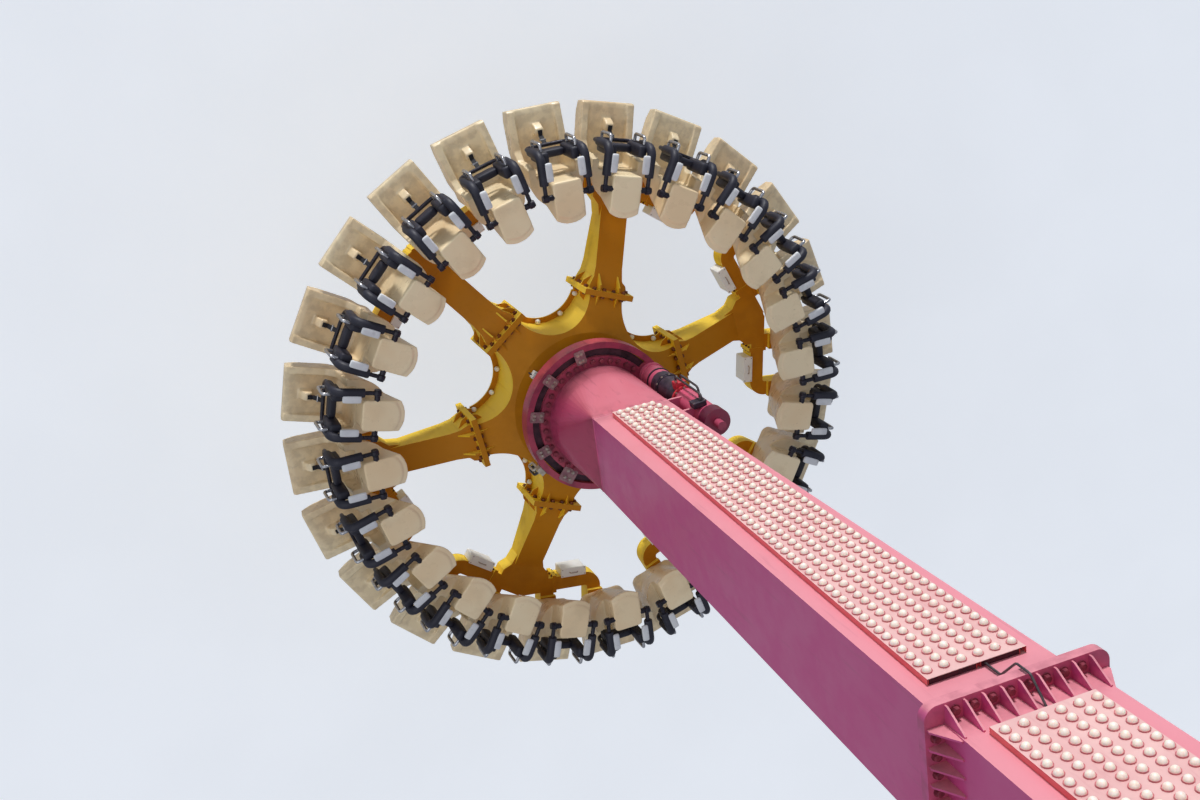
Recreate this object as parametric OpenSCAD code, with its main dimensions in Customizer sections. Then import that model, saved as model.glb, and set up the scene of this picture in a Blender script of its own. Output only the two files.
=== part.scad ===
// Pendulum ride arm with its spinning gondola, hanging from the bolted top flange.
// Millimetres, +Z up, origin at the centre of the top flange's upper face.

/* [Arm] */
// Length of the upper arm segment, top flange face to middle joint
upper_len = 3600; // [2600:50:5000]
// Length of the lower arm segment, middle joint to the seam of the hub transition
lower_len = 6470; // [5000:10:8000]
// Width of the square box at the top flange
top_w = 1210; // [1150:10:1300]
// Width of the upper box at the middle joint
upper_joint_w = 1090; // [1060:10:1140]
// Width of the lower box at the middle joint
lower_joint_w = 1030; // [960:10:1060]
// Width of the lower box at the seam
seam_w = 790; // [740:5:820]
// Thickness of the arm's side plates
wall = 14; // [8:1:30]

/* [Joint flanges] */
// How far the joint plates stand out from the box
flange_over = 140; // [100:5:180]
// Thickness of each joint plate
flange_t = 40; // [25:1:60]
// Corner radius of the joint plates
flange_r = 100; // [40:5:140]
// Height of the stiffening ribs above the middle joint
rib_h = 220; // [150:5:320]
// Thickness of the ribs
rib_t = 14; // [8:1:20]
// Ribs on each side of the box
rib_n = 9; // [5:1:11]
// Bolt holes along each side of the top flange
hole_n = 6; // [4:1:7]
// Diameter of the bolt holes in the top flange
hole_d = 36; // [26:1:42]

/* [Hub] */
// Length of the square to round transition
transition_len = 700; // [550:10:800]
// Radius of the round hub neck
neck_r = 560; // [558:1:600]
// Height of the round neck over the hub flange
neck_h = 250; // [150:5:350]
// Radius of the hub flange
hub_flange_r = 660; // [640:5:680]
// Outer radius of the rim round the hub
rim_r = 812; // [800:2:840]
// Radial thickness of the rim
rim_t = 65; // [40:1:75]
// Height of the rim
rim_h = 160; // [120:5:200]
// Places for lugs that bridge the groove inside the rim
lug_n = 11; // [8:1:14]
// Radius of the running gap of the slewing ring
race_r = 600; // [590:2:610]

/* [Lamp panels] */
// How far the lamp panels stand out from the arm's face
panel_t = 50; // [30:1:70]
// Thickness of a panel's front plate
panel_plate = 8; // [4:1:15]
// Depth of the open pocket in a panel's upper end
panel_pocket = 250; // [100:10:400]
// Plain strip on both sides of the upper panel
upper_strip = 165; // [120:5:220]
// Plain strip on both sides of the lower panel at the middle joint
lower_strip = 130; // [100:5:180]
// Plain strip on the left of the lower panel's hub end
left_strip = 180; // [120:5:240]
// Plain strip on the right of the lower panel's hub end
right_strip = 90; // [60:5:150]
// Width of the cut corner at the lower panel's hub end
corner_w = 100; // [60:5:140]
// Length of the cut corner
corner_len = 400; // [250:10:600]

/* [Drive] */
// Distance of the drive's axis from the arm's axis
drive_r = 700; // [690:1:706]
// Radius of the gearbox
gearbox_r = 130; // [100:2:150]
// Length of the gearbox over the hub flange
gearbox_len = 850; // [600:10:1000]
// Radius of the motor
motor_r = 120; // [90:2:140]
// Length of the motor
motor_len = 640; // [450:10:800]
// Length of the motor's end cap
motor_cap = 150; // [60:5:200]

/* [Gondola] */
// Number of spokes
spoke_n = 6; // [6:1:6]
// Top of the star below the hub flange face
star_drop = 430; // [400:5:470]
// Depth of the star's box
star_depth = 540; // [480:5:600]
// Half width of a star stub
stub_half = 190; // [170:5:210]
// Distance from the axis to the bolted joint of star and spoke
spoke_joint_r = 1200; // [1150:10:1260]
// Radius of the round inner corners between the stubs
star_fillet = 470; // [440:5:480]
// Half width of a spoke
spoke_half = 155; // [130:5:170]
// Slope of the spokes, down towards the seats
spoke_slope = 21.5; // [18:0.5:24]
// Thickness of the spokes' joint plates
spoke_flange_t = 30; // [20:1:40]

/* [Seat beams] */
// Distance of the seat beams' centre line from the axis
beam_r = 2290; // [2270:5:2330]
// Width of the seat beams' box
beam_w = 160; // [140:5:180]
// Height of the seat beams' box
beam_h = 200; // [160:5:220]
// Top of the seat beams below the restraint pivots
beam_drop = 900; // [890:2:930]
// Length of the covers beside the beams
cover_len = 290; // [200:5:320]
// Height of the covers
cover_h = 200; // [140:5:240]
// Width of the covers
cover_w = 100; // [70:5:130]

/* [Seats] */
// Seats round the ring, four to a spoke
seat_n = 24; // [24:1:24]
// Height of the hub flange face over the restraint pivots
pivot_drop = 30; // [0:5:60]
// Distance of the restraint pivots from the gondola's axis
pivot_r = 2400; // [2390:5:2420]
// Half distance between a restraint's two arms
arm_half = 233; // [229:1:237]
// Half width of the shell at the shoulders
shell_half = 292; // [284:1:298]
// Half width of the shell's pan
pan_half = 268; // [255:1:275]
// Half width of the headrest
head_half = 160; // [140:2:175]
// Distance from the axis to the back of the headrest
shell_back_r = 2095; // [2070:5:2120]
// Distance from the axis to the front of the headrest
head_front_r = 2545; // [2520:5:2555]
// Distance from the axis to the front edge of the pan
pan_front_r = 3190; // [3120:10:3220]
// Lean of the backrest's rounded back
shell_lean = 22; // [18:0.5:24]
// Height of the headrest over the pivots
headrest_h = 30; // [25:1:60]
// Top of the shoulders below the pivots
shoulder_drop = 270; // [200:5:300]

/* [Restraints] */
// Radius of the restraint's tube
tube_r = 24; // [18:1:26]
// Reach of the restraint from its pivots to the chest
restraint_reach = 430; // [400:5:450]
// Drop of the restraint's lower bow below the pivots
restraint_drop = 490; // [440:5:520]
// Bend radius of the restraint's tube
bend_r = 90; // [60:5:110]
// Radius of the pivot pins
pin_r = 12; // [9:0.5:15]

/* [Hidden] */
eps = 0.01;
pin_gap = 0.4;
race_gap = 0.5;
seat_gap = 0.1;
restraint_count = 24;
restraint_names = [for (i = [1:restraint_count]) str("restraint_", i < 10 ? "0" : "", i)];

joint_z = -upper_len;
seam_z = joint_z - lower_len;
neck_top_z = seam_z - transition_len;
hub_z = neck_top_z - neck_h;
pivot_z = hub_z - pivot_drop;
hub_flange_t = 50;
lug_turn = 2.2;
lug_left_out = 2;
lug_h = 40;
rim_gap_r = rim_r - rim_t;
outer_race_r = rim_gap_r - 10;
race_top_z = hub_z - hub_flange_t;
outer_race_h = 110;
inner_race_h = 190;
inner_race_top = race_top_z - 20;
star_top_z = hub_z - star_drop;
star_bottom_z = star_top_z - star_depth;
flat_r = 800;
slope_t = tan(spoke_slope);
fillet_d = 2 * (stub_half + star_fillet);
fillet_end_r = fillet_d * cos(30);
edge_depth = 450;
edge_top_z = star_top_z - (spoke_joint_r - flat_r) * slope_t;
plate_rise = 80;
plate_drop = 70;
plate_side = 90;
skirt_out = 60;
skirt_t = 20;
spoke_first = 7.5;
spoke_step = 360 / spoke_n;
seat_step = 360 / seat_n;
beam_turn = spoke_step / 4;
beam_joint_y = -220;
beam_end_y = 260;
stub_y = -310;
stub_len = 330;
elbow_r = 110;
beam_top_z = pivot_z - beam_drop;
beam_bottom_z = beam_top_z - beam_h;
beam_flange_t = 20;
seat_pad_h = 50;
shell_bottom = beam_drop - seat_pad_h - seat_gap;
pan_floor = 75 - shell_bottom;
inner_half = pan_half - 55;
lip_w = 62;
lip_drop = 14;
drive_az = 26;
drive_x = drive_r * cos(drive_az);
drive_y = drive_r * sin(drive_az);

arm_pink = [0.93, 0.55, 0.62];
rim_rose = [0.70, 0.20, 0.32];
dark_steel = [0.20, 0.17, 0.20];
spoke_yellow = [0.90, 0.68, 0.14];
shell_cream = [0.90, 0.84, 0.72];
pad_navy = [0.09, 0.10, 0.16];
cover_white = [0.88, 0.89, 0.90];

function lerp(a, b, t) = a + (b - a) * t;
function upper_half(z) = lerp(top_w, upper_joint_w, z / joint_z) / 2;
function lower_half(z) = lerp(lower_joint_w, seam_w, (z - joint_z) / (seam_z - joint_z)) / 2;

// A square box that tapers from half width h0 at z0 to h1 at z1.
module tapered_box(h0, z0, h1, z1) {
    side = [[-h0, z0], [h0, z0], [h1, z1], [-h1, z1]];
    reach = 2 * max(h0, h1) + 2;
    intersection() {
        rotate([90, 0, 0]) linear_extrude(reach, center = true) polygon(side);
        rotate([90, 0, 90]) linear_extrude(reach, center = true) polygon(side);
    }
}

module rounded_rect(x, y, r) {
    square([x - 2 * r, y], center = true);
    square([x, y - 2 * r], center = true);
    for (sx = [-1, 1], sy = [-1, 1]) translate([sx * (x / 2 - r), sy * (y / 2 - r)]) circle(r, $fn = 48);
}

// A profile given in X and Z, thick in Y and centred on it.
module slab_y(points, t) {
    rotate([90, 0, 0]) linear_extrude(t, center = true) polygon(points);
}

module ring(r_out, r_in, h) {
    difference() {
        cylinder(h = h, r = r_out, $fn = 128);
        translate([0, 0, -1]) cylinder(h = h + 2, r = r_in, $fn = 128);
    }
}

module bolt_holes(w, z, t) {
    line = w / 2 + flange_over / 2;
    pitch = w / (hole_n - 1) * 0.94;
    for (a = [0:90:270], i = [0:hole_n - 1])
        rotate([0, 0, a]) translate([line, (i - (hole_n - 1) / 2) * pitch, z - 1])
            cylinder(h = t + 2, d = hole_d, $fn = 32);
}

module joint_plate(w, z) {
    translate([0, 0, z]) linear_extrude(flange_t)
        rounded_rect(w + 2 * flange_over, w + 2 * flange_over, flange_r);
}

module arm_top_flange() {
    color(arm_pink) difference() {
        joint_plate(top_w, -flange_t);
        bolt_holes(top_w, -flange_t, flange_t);
    }
}

module arm_upper_tube() {
    z0 = -flange_t;
    z1 = joint_z + flange_t;
    color(arm_pink) difference() {
        tapered_box(upper_half(z0), z0, upper_half(z1), z1);
        tapered_box(upper_half(z0) - wall, z0 + 1, upper_half(z1) - wall, z1 - 1);
    }
}

// The plate under the upper segment, with its row of triangular ribs on every side.
module arm_upper_joint() {
    z0 = joint_z + flange_t;
    z1 = z0 + rib_h;
    rib_out = flange_over - 15;
    face = upper_half(z0);
    pitch = 2 * (face - rib_t) / (rib_n - 1);
    color(arm_pink) {
        joint_plate(upper_joint_w, joint_z);
        for (a = [0:90:270], i = [0:rib_n - 1])
            rotate([0, 0, a]) translate([0, (i - (rib_n - 1) / 2) * pitch, 0])
                slab_y([[face, z0 - 1], [face + rib_out, z0 - 1], [face + rib_out, z0 + 30],
                    [upper_half(z1) + 12, z1], [upper_half(z1), z1]], rib_t);
    }
}

module arm_lower_joint() {
    color(arm_pink) joint_plate(upper_joint_w, joint_z - flange_t);
}

module arm_lower_tube() {
    z0 = joint_z - flange_t;
    color(arm_pink) difference() {
        tapered_box(lower_half(z0), z0, lower_half(seam_z), seam_z);
        tapered_box(lower_half(z0) - wall, z0 + 1, lower_half(seam_z) - wall, seam_z - 1);
    }
}

module hub_transition() {
    color(arm_pink) {
        hull() {
            translate([-seam_w / 2, -seam_w / 2, seam_z - 1]) cube([seam_w, seam_w, 1]);
            translate([0, 0, neck_top_z]) cylinder(h = 1, r = neck_r, $fn = 64);
        }
        translate([0, 0, hub_z]) cylinder(h = neck_h + 0.5, r = neck_r, $fn = 64);
    }
}

// The flange with its lugs, and the pad that carries the drive over the groove.
module hub_flange() {
    lug_w = 70;
    lug_end = sqrt(rim_gap_r * rim_gap_r - lug_w * lug_w / 4);
    color(arm_pink) {
        translate([0, 0, race_top_z]) cylinder(h = hub_flange_t, r = hub_flange_r, $fn = 128);
        for (i = [0:lug_n - 1]) if (i != lug_left_out)
            rotate([0, 0, i * 360 / lug_n + lug_turn]) translate([hub_flange_r - 20, -lug_w / 2, hub_z - lug_h])
                cube([lug_end - hub_flange_r + 20, lug_w, lug_h]);
        translate([0, 0, hub_z - lug_h]) linear_extrude(lug_h) intersection() {
            circle(rim_gap_r - 0.5, $fn = 128);
            translate([drive_x, drive_y]) circle(gearbox_r + 30, $fn = 64);
        }
    }
}

module hub_rim() {
    color(rim_rose) translate([0, 0, hub_z - rim_h]) ring(rim_r, rim_gap_r, rim_h);
}

module outer_race() {
    color(dark_steel) translate([0, 0, race_top_z - outer_race_h])
        ring(outer_race_r, race_r + race_gap, outer_race_h);
}

// A lamp panel with its open upper end, between z0 and z1, on a face at half width h0 and h1.
// Its left and right edges are given at both ends.
module lamp_panel(z0, z1, h0, h1, left, right) {
    tab_x = right[0] - 0.48 * (right[0] - left[0]);
    intersection() {
        difference() {
            slab_y([[left[0], z0], [right[0], z0], [right[1], z1], [left[1], z1]], 4 * top_w);
            for (x = [[left[0] + 15, tab_x - 15], [tab_x + 15, right[0] - 50]])
                translate([x[0], h0 - 200, z0 - panel_pocket])
                    cube([x[1] - x[0], 200 + panel_t - panel_plate, panel_pocket + 10]);
        }
        rotate([90, 0, 90]) linear_extrude(2 * top_w, center = true)
            polygon([[h0 + seat_gap, z0], [h0 + panel_t, z0], [h1 + panel_t, z1], [h1 + seat_gap, z1]]);
    }
}

module lamp_panel_upper() {
    z0 = -flange_t - 120;
    z1 = joint_z + flange_t + rib_h + 30;
    half = [upper_half(z0) - upper_strip, upper_half(z1) - upper_strip];
    color(arm_pink) lamp_panel(z0, z1, upper_half(z0), upper_half(z1), -half, half);
}

module lamp_panel_lower() {
    z0 = joint_z - flange_t - 180;
    z1 = seam_z + 90;
    half = lower_half(z0) - lower_strip;
    left = left_strip - lower_half(z1);
    right = lower_half(z1) - right_strip;
    color(arm_pink) difference() {
        lamp_panel(z0, z1, lower_half(z0), lower_half(z1), [-half, left], [half, right]);
        slab_y([[right - corner_w, z1 - 10], [right - corner_w, z1], [right + 10, z1 + corner_len],
            [right + 100, z1 + corner_len], [right + 100, z1 - 10]], 4 * top_w);
    }
}

module drive_gearbox() {
    neck_clear = max(neck_r, seam_w * sqrt(0.5)) + 2;
    color(dark_steel) difference() {
        translate([drive_x, drive_y, hub_z + seat_gap]) {
            cylinder(h = 50, r = gearbox_r + 12, $fn = 64);
            translate([0, 0, 50 - eps]) cylinder(h = gearbox_len - 210, r = gearbox_r, $fn = 64);
            translate([0, 0, gearbox_len - 160 - 2 * eps])
                cylinder(h = 160, r1 = gearbox_r, r2 = motor_r - 20, $fn = 64);
        }
        translate([0, 0, hub_z - 1]) cylinder(h = gearbox_len + 10, r = neck_clear, $fn = 128);
    }
}

module drive_motor() {
    color(arm_pink) translate([drive_x, drive_y, hub_z + seat_gap + gearbox_len]) {
        cylinder(h = motor_len, r = motor_r, $fn = 64);
        translate([0, 0, motor_len - eps]) cylinder(h = motor_cap, r = motor_r + 18, $fn = 64);
        translate([0, 0, motor_len + motor_cap - 2 * eps]) cylinder(h = 110, r = 45, $fn = 48);
    }
}

module drive_bracket() {
    bracket_t = 30;
    color(arm_pink) for (z = [hub_z + gearbox_len + 120, hub_z + gearbox_len + 480]) {
        face = lower_half(max(z + bracket_t, seam_z)) + 0.3;
        translate([0, 0, z]) difference() {
            translate([face, drive_y - 90, 0]) cube([drive_x - face, 180, bracket_t]);
            translate([drive_x, drive_y, -1]) cylinder(h = bracket_t + 2, r = motor_r + 0.3, $fn = 64);
        }
    }
}

module inner_race() {
    color(dark_steel) translate([0, 0, inner_race_top - inner_race_h])
        ring(race_r, race_r - 110, inner_race_h);
}

module star_plan(fillet_r) {
    difference() {
        circle(fillet_end_r, $fn = 128);
        for (i = [0:spoke_n - 1]) rotate([0, 0, (i + 0.5) * spoke_step])
            translate([fillet_d, 0]) circle(fillet_r, $fn = 96);
    }
}

module flange_plate(x) {
    half = stub_half + plate_side;
    translate([x, -half, edge_top_z - edge_depth - plate_drop])
        cube([spoke_flange_t, 2 * half, edge_depth + plate_drop + plate_rise]);
}

// A pair of triangular gussets on the top, beside the plate at x, leaning towards side s.
module top_gussets(x, s, len, h) {
    for (y = [-110, 110]) translate([0, y, 0])
        slab_y([[x, edge_top_z - 60], [x, edge_top_z + h], [x + s * len * 0.35, edge_top_z + h * 0.8],
            [x + s * len, edge_top_z - s * len * slope_t - 20], [x + s * len, edge_top_z - 90]], 16);
}

module side_gussets(x, s, len, w) {
    for (side = [-1, 1], z = [edge_top_z - 130, edge_top_z - 330])
        translate([0, 0, z]) linear_extrude(16)
            polygon([[x, side * (stub_half - 60)], [x, side * (stub_half + w)],
                [x + s * len * 0.4, side * (stub_half + w * 0.7)], [x + s * len, side * (stub_half - 60)]]);
}

module hub_star() {
    drum_top = inner_race_top - inner_race_h;
    plate_x = spoke_joint_r - spoke_flange_t;
    color(spoke_yellow) {
        translate([0, 0, star_top_z - 1]) cylinder(h = drum_top - star_top_z + 1, r = race_r - 20, $fn = 128);
        rotate([0, 0, spoke_first]) {
            intersection() {
                union() {
                    translate([0, 0, star_bottom_z - 200]) linear_extrude(star_depth + 200) {
                        star_plan(star_fillet);
                        for (i = [0:spoke_n - 1]) rotate([0, 0, i * spoke_step])
                            translate([0, -stub_half]) square([spoke_joint_r, 2 * stub_half]);
                    }
                    translate([0, 0, star_bottom_z]) linear_extrude(skirt_t) star_plan(star_fillet - skirt_out);
                }
                rotate_extrude($fn = 128) polygon([[0, star_top_z], [flat_r, star_top_z],
                    [spoke_joint_r, edge_top_z], [spoke_joint_r, edge_top_z - edge_depth],
                    [flat_r, star_bottom_z], [0, star_bottom_z]]);
            }
            for (i = [0:spoke_n - 1]) rotate([0, 0, i * spoke_step]) {
                flange_plate(plate_x);
                top_gussets(plate_x, -1, 170, 70);
                side_gussets(plate_x, -1, 150, 80);
            }
        }
    }
}

// The junction at a spoke's outer end: a block across each beam line and the stubs for two seats.
module tee() {
    tee_h = beam_h + 20;
    translate([0, 0, beam_bottom_z - 10]) linear_extrude(tee_h) tee_plan();
    for (s = [0, 1]) mirror([0, s, 0]) rotate([0, 0, beam_turn]) {
        translate([beam_r, stub_y - beam_w / 2, beam_bottom_z]) cube([stub_len, beam_w, beam_h]);
        seat_pad(stub_y);
        beam_plate(beam_joint_y - beam_flange_t - seat_gap);
    }
}

module tee_plan() {
    for (s = [0, 1]) mirror([0, s]) {
        rotate([0, 0, beam_turn]) translate([beam_r - beam_w / 2, -beam_r * tan(beam_turn)])
            square([beam_w, beam_r * tan(beam_turn) + beam_joint_y - beam_flange_t / 2]);
        polygon([[beam_r - 330, 0], [beam_r - 330, spoke_half], [beam_r - 210, spoke_half + 40],
            [beam_r - 140, spoke_half + 120], [beam_r, spoke_half + 150], [beam_r + 130, 120], [beam_r + 150, 0]]);
    }
}

module seat_pad(y) {
    translate([beam_r + 130, y - 90, beam_top_z - 1]) cube([200, 180, seat_pad_h + 1]);
}

module beam_plate(y) {
    translate([beam_r - beam_w / 2 - 25, y, beam_bottom_z - 15])
        cube([beam_w + 50, beam_flange_t, beam_h + 30]);
}

module spoke() {
    x0 = spoke_joint_r + seat_gap;
    x1 = beam_r - 60;
    top_1 = max(star_top_z - (x1 - 150 - flat_r) * slope_t, beam_top_z + 10);
    bottom_1 = beam_bottom_z - 10;
    flare = stub_half + 15;
    plan = [[x0, flare], [x0 + 60, flare], [x0 + 150, spoke_half + 12], [x0 + 260, spoke_half], [x1, spoke_half]];
    intersection() {
        slab_y([[x0, edge_top_z], [x1 - 150, top_1], [x1, beam_top_z + 10], [x1, bottom_1],
            [x1 - 200, bottom_1], [x0, edge_top_z - edge_depth]], 2 * flare);
        translate([0, 0, beam_bottom_z - 100]) linear_extrude(1500)
            polygon(concat(plan, [for (i = [len(plan) - 1:-1:0]) [plan[i][0], -plan[i][1]]]));
    }
    flange_plate(x0);
    top_gussets(x0 + spoke_flange_t, 1, 170, 70);
    side_gussets(x0 + spoke_flange_t, 1, 150, 80);
    tee();
}

// Both bolted beams of a spoke, each with a rounded elbow that turns outwards under the last seat.
module beams() {
    inner = elbow_r - beam_w / 2;
    for (s = [0, 1]) mirror([0, s, 0]) rotate([0, 0, beam_turn]) {
        beam_plate(beam_joint_y);
        translate([beam_r - beam_w / 2, beam_joint_y, beam_bottom_z])
            cube([beam_w, beam_end_y - elbow_r - beam_joint_y, beam_h]);
        translate([beam_r + elbow_r, beam_end_y - elbow_r, beam_bottom_z])
            rotate([0, 0, 90]) rotate_extrude(angle = 90, $fn = 96)
                translate([inner, 0]) square([beam_w, beam_h]);
        translate([beam_r + elbow_r - 1, beam_end_y - beam_w / 2, beam_bottom_z])
            cube([stub_len - elbow_r + 1, beam_w, beam_h]);
        seat_pad(beam_end_y);
    }
}

module beam_covers() {
    color(cover_white) rotate([0, 0, spoke_first])
        for (i = [0:spoke_n - 1], s = [0, 1])
            rotate([0, 0, i * spoke_step]) mirror([0, s, 0]) rotate([0, 0, beam_turn])
                translate([beam_r - beam_w / 2 - cover_w / 2 - seat_gap, 0, beam_top_z + 30 - cover_h])
                    linear_extrude(cover_h) rounded_rect(cover_w, cover_len, 15);
}

// Side outline of the shell below the headrest, from the back round the pan to the side wall's front.
shell_side = [[shell_back_r - 50, -shoulder_drop], [shell_back_r - 50, -shell_bottom],
    [beam_r + 360, -shell_bottom], [pan_front_r - 130, -shell_bottom - 60],
    [pan_front_r - 20, -shell_bottom - 30], [pan_front_r, -shell_bottom + 90],
    [pan_front_r - 20, -shell_bottom + 120], [head_front_r + 235, 180 - shell_bottom],
    [head_front_r + 145, 250 - shell_bottom], [head_front_r + 135, -shoulder_drop - 150],
    [head_front_r + 105, -shoulder_drop]];
// Space for the rider, in front of the backrest and over the pan.
shell_space = [[head_front_r, 300], [head_front_r, -60], [head_front_r + 10, -500], [head_front_r + 20, -720],
    [head_front_r + 90, pan_floor], [head_front_r + 355, pan_floor + 20],
    [pan_front_r - 60, pan_floor + 40], [pan_front_r + 60, pan_floor + 15], [pan_front_r + 60, 300]];

// The rounded back of a shell, leaning outwards towards the pan, of radius r.
module leaning_back(r) {
    translate([shell_back_r + shell_half / cos(shell_lean), 0, headrest_h]) rotate([0, -shell_lean, 0])
        translate([0, 0, -1200]) linear_extrude(1400) {
            circle(r, $fn = 96);
            translate([0, -r]) square([600, 2 * r]);
        }
}

module headrest() {
    head_len = head_front_r - shell_back_r + 50;
    intersection() {
        union() {
            intersection() {
                leaning_back(shell_half);
                translate([shell_back_r - 50, -shell_half, -shoulder_drop - 1])
                    cube([1000, 2 * shell_half, shoulder_drop + headrest_h - lip_drop + 1]);
            }
            intersection() {
                leaning_back(shell_half - lip_w);
                translate([shell_back_r - 50, -shell_half, -shoulder_drop - 1])
                    cube([1000, 2 * shell_half, shoulder_drop + headrest_h + 1]);
            }
        }
        translate([head_front_r - head_len / 2, 0, -shoulder_drop - 1]) linear_extrude(shoulder_drop + 200)
            rounded_rect(head_len, 2 * head_half, 40);
    }
}

// The boss, pin and cap on one side of the headrest, on which a restraint's eye turns.
module pivot_pin(s) {
    eye_in = arm_half - tube_r;
    eye_out = arm_half + tube_r;
    translate([pivot_r, s * head_half, 0]) rotate([-s * 90, 0, 0]) {
        translate([0, 0, -10]) cylinder(h = eye_in - head_half + 4, r = 26, $fn = 48);
        cylinder(h = eye_out + 10 - head_half, r = pin_r, $fn = 32);
        translate([0, 0, eye_out + 2 - head_half]) cylinder(h = 12, r = 30, $fn = 48);
    }
}

module seat_shell() {
    intersection() {
        difference() {
            union() {
                intersection() {
                    slab_y(shell_side, 2 * shell_half + 2);
                    union() {
                        leaning_back(shell_half);
                        translate([(head_front_r + pan_front_r) / 2 - 45, 0, -shell_bottom - 100])
                            linear_extrude(1000) rounded_rect(pan_front_r - head_front_r + 90, 2 * pan_half, 90);
                    }
                }
                headrest();
            }
            slab_y(shell_space, 2 * inner_half);
        }
        translate([shell_back_r - 50, -shell_half, -shell_bottom - 100]) cube([2000, 2 * shell_half, 1500]);
    }
    for (s = [-1, 1]) pivot_pin(s);
    slab_y([[pan_front_r - 300, pan_floor - 25], [pan_front_r - 285, pan_floor + 125],
        [pan_front_r - 260, pan_floor + 150], [pan_front_r - 215, pan_floor + 150],
        [pan_front_r - 180, pan_floor + 95], [pan_front_r - 140, pan_floor - 25]], 90);
}

module seat_row(k) {
    color(shell_cream) for (j = [0:3])
        rotate([0, 0, spoke_first + k * spoke_step + (j - 1.5) * seat_step])
            translate([0, 0, pivot_z]) seat_shell();
}

// One half of the restraint: pivot eye, tube, two bends and half of the lower bow.
module restraint_half() {
    x1 = pivot_r + restraint_reach;
    translate([pivot_r, arm_half, 0]) rotate([90, 0, 0])
        cylinder(h = 2 * tube_r, r = 38, center = true, $fn = 48);
    translate([pivot_r, arm_half, 0]) rotate([0, 90, 0])
        cylinder(h = restraint_reach - bend_r, r = tube_r, $fn = 32);
    translate([x1 - bend_r, arm_half, -bend_r]) rotate([90, 0, 0])
        rotate_extrude(angle = 90, $fn = 64) translate([bend_r, 0]) circle(tube_r, $fn = 32);
    translate([x1, arm_half, -restraint_drop + bend_r])
        cylinder(h = restraint_drop - 2 * bend_r, r = tube_r, $fn = 32);
    translate([x1, arm_half - bend_r, -restraint_drop + bend_r]) rotate([0, 90, 0])
        rotate_extrude(angle = 90, $fn = 64) translate([bend_r, 0]) circle(tube_r, $fn = 32);
    translate([x1, 0, -restraint_drop]) rotate([-90, 0, 0])
        cylinder(h = arm_half - bend_r, r = tube_r, $fn = 32);
    translate([x1 - 130, 120, -restraint_drop + 70]) linear_extrude(restraint_drop - 100)
        translate([75, 65]) rounded_rect(150, 130, 40);
}

module restraint(i) {
    bore_len = 2 * tube_r + 4;
    color(pad_navy) rotate([0, 0, i * seat_step]) translate([0, 0, pivot_z]) difference() {
        union() {
            restraint_half();
            mirror([0, 1, 0]) restraint_half();
            translate([pivot_r + restraint_reach - 100, -130, -restraint_drop + 80]) cube([90, 260, 150]);
        }
        for (s = [-1, 1]) translate([pivot_r, s * arm_half, 0]) rotate([90, 0, 0])
            cylinder(h = bore_len, r = pin_r + pin_gap, center = true, $fn = 32);
    }
}

arm_top_flange();
arm_upper_tube();
arm_upper_joint();
arm_lower_joint();
arm_lower_tube();
hub_transition();
hub_flange();
hub_rim();
outer_race();
lamp_panel_upper();
lamp_panel_lower();
drive_gearbox();
drive_motor();
drive_bracket();
inner_race();
hub_star();
for (k = [0:5]) {
    color(spoke_yellow) rotate([0, 0, spoke_first + k * spoke_step]) spoke();
    color(spoke_yellow) rotate([0, 0, spoke_first + k * spoke_step]) beams();
    seat_row(k);
}
beam_covers();
for (i = [0:restraint_count - 1])
    restraint(i);
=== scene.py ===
import math

import bpy
from mathutils import Matrix, Vector


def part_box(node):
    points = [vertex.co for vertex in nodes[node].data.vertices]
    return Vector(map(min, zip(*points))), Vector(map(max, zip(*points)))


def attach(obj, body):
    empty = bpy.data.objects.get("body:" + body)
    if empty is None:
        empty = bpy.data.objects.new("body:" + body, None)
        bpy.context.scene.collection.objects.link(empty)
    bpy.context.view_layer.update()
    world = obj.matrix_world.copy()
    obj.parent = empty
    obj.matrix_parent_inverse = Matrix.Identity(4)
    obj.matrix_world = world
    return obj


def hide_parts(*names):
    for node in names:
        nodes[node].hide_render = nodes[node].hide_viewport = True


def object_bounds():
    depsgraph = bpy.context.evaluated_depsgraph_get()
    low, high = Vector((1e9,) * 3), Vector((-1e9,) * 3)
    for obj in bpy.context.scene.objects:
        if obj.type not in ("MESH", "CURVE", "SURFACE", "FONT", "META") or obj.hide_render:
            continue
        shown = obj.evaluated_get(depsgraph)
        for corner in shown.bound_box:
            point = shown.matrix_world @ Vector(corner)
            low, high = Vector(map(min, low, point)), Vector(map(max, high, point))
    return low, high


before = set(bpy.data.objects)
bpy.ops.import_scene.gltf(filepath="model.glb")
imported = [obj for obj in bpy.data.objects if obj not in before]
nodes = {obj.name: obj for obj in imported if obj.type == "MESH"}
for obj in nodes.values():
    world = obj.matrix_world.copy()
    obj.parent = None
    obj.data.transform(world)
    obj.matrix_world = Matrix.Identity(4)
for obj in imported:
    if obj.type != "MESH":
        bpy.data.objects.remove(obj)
cadLow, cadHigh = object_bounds()
print("frame loaded:", len(nodes), "nodes")

# places read from the frame, in metres
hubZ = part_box("hub_flange")[1].z
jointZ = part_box("arm_upper_joint")[0].z
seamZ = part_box("hub_transition")[1].z
pivotZ = hubZ - 0.030
pivotR = 2.400
spokeFirst = 7.5
spokeStep = 60
seatStep = 15


# helpers for selecting, editing and joining

def deselectAll():
    bpy.ops.object.select_all(action="DESELECT")


def only(piece):
    deselectAll()
    piece.select_set(True)
    bpy.context.view_layer.objects.active = piece


def named(name):
    piece = bpy.context.object
    piece.name = name
    return piece


def settle(piece):  # the place goes into the mesh, and the object stays at the origin
    only(piece)
    bpy.ops.object.transform_apply(location=True, rotation=True, scale=True)
    return piece


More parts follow.
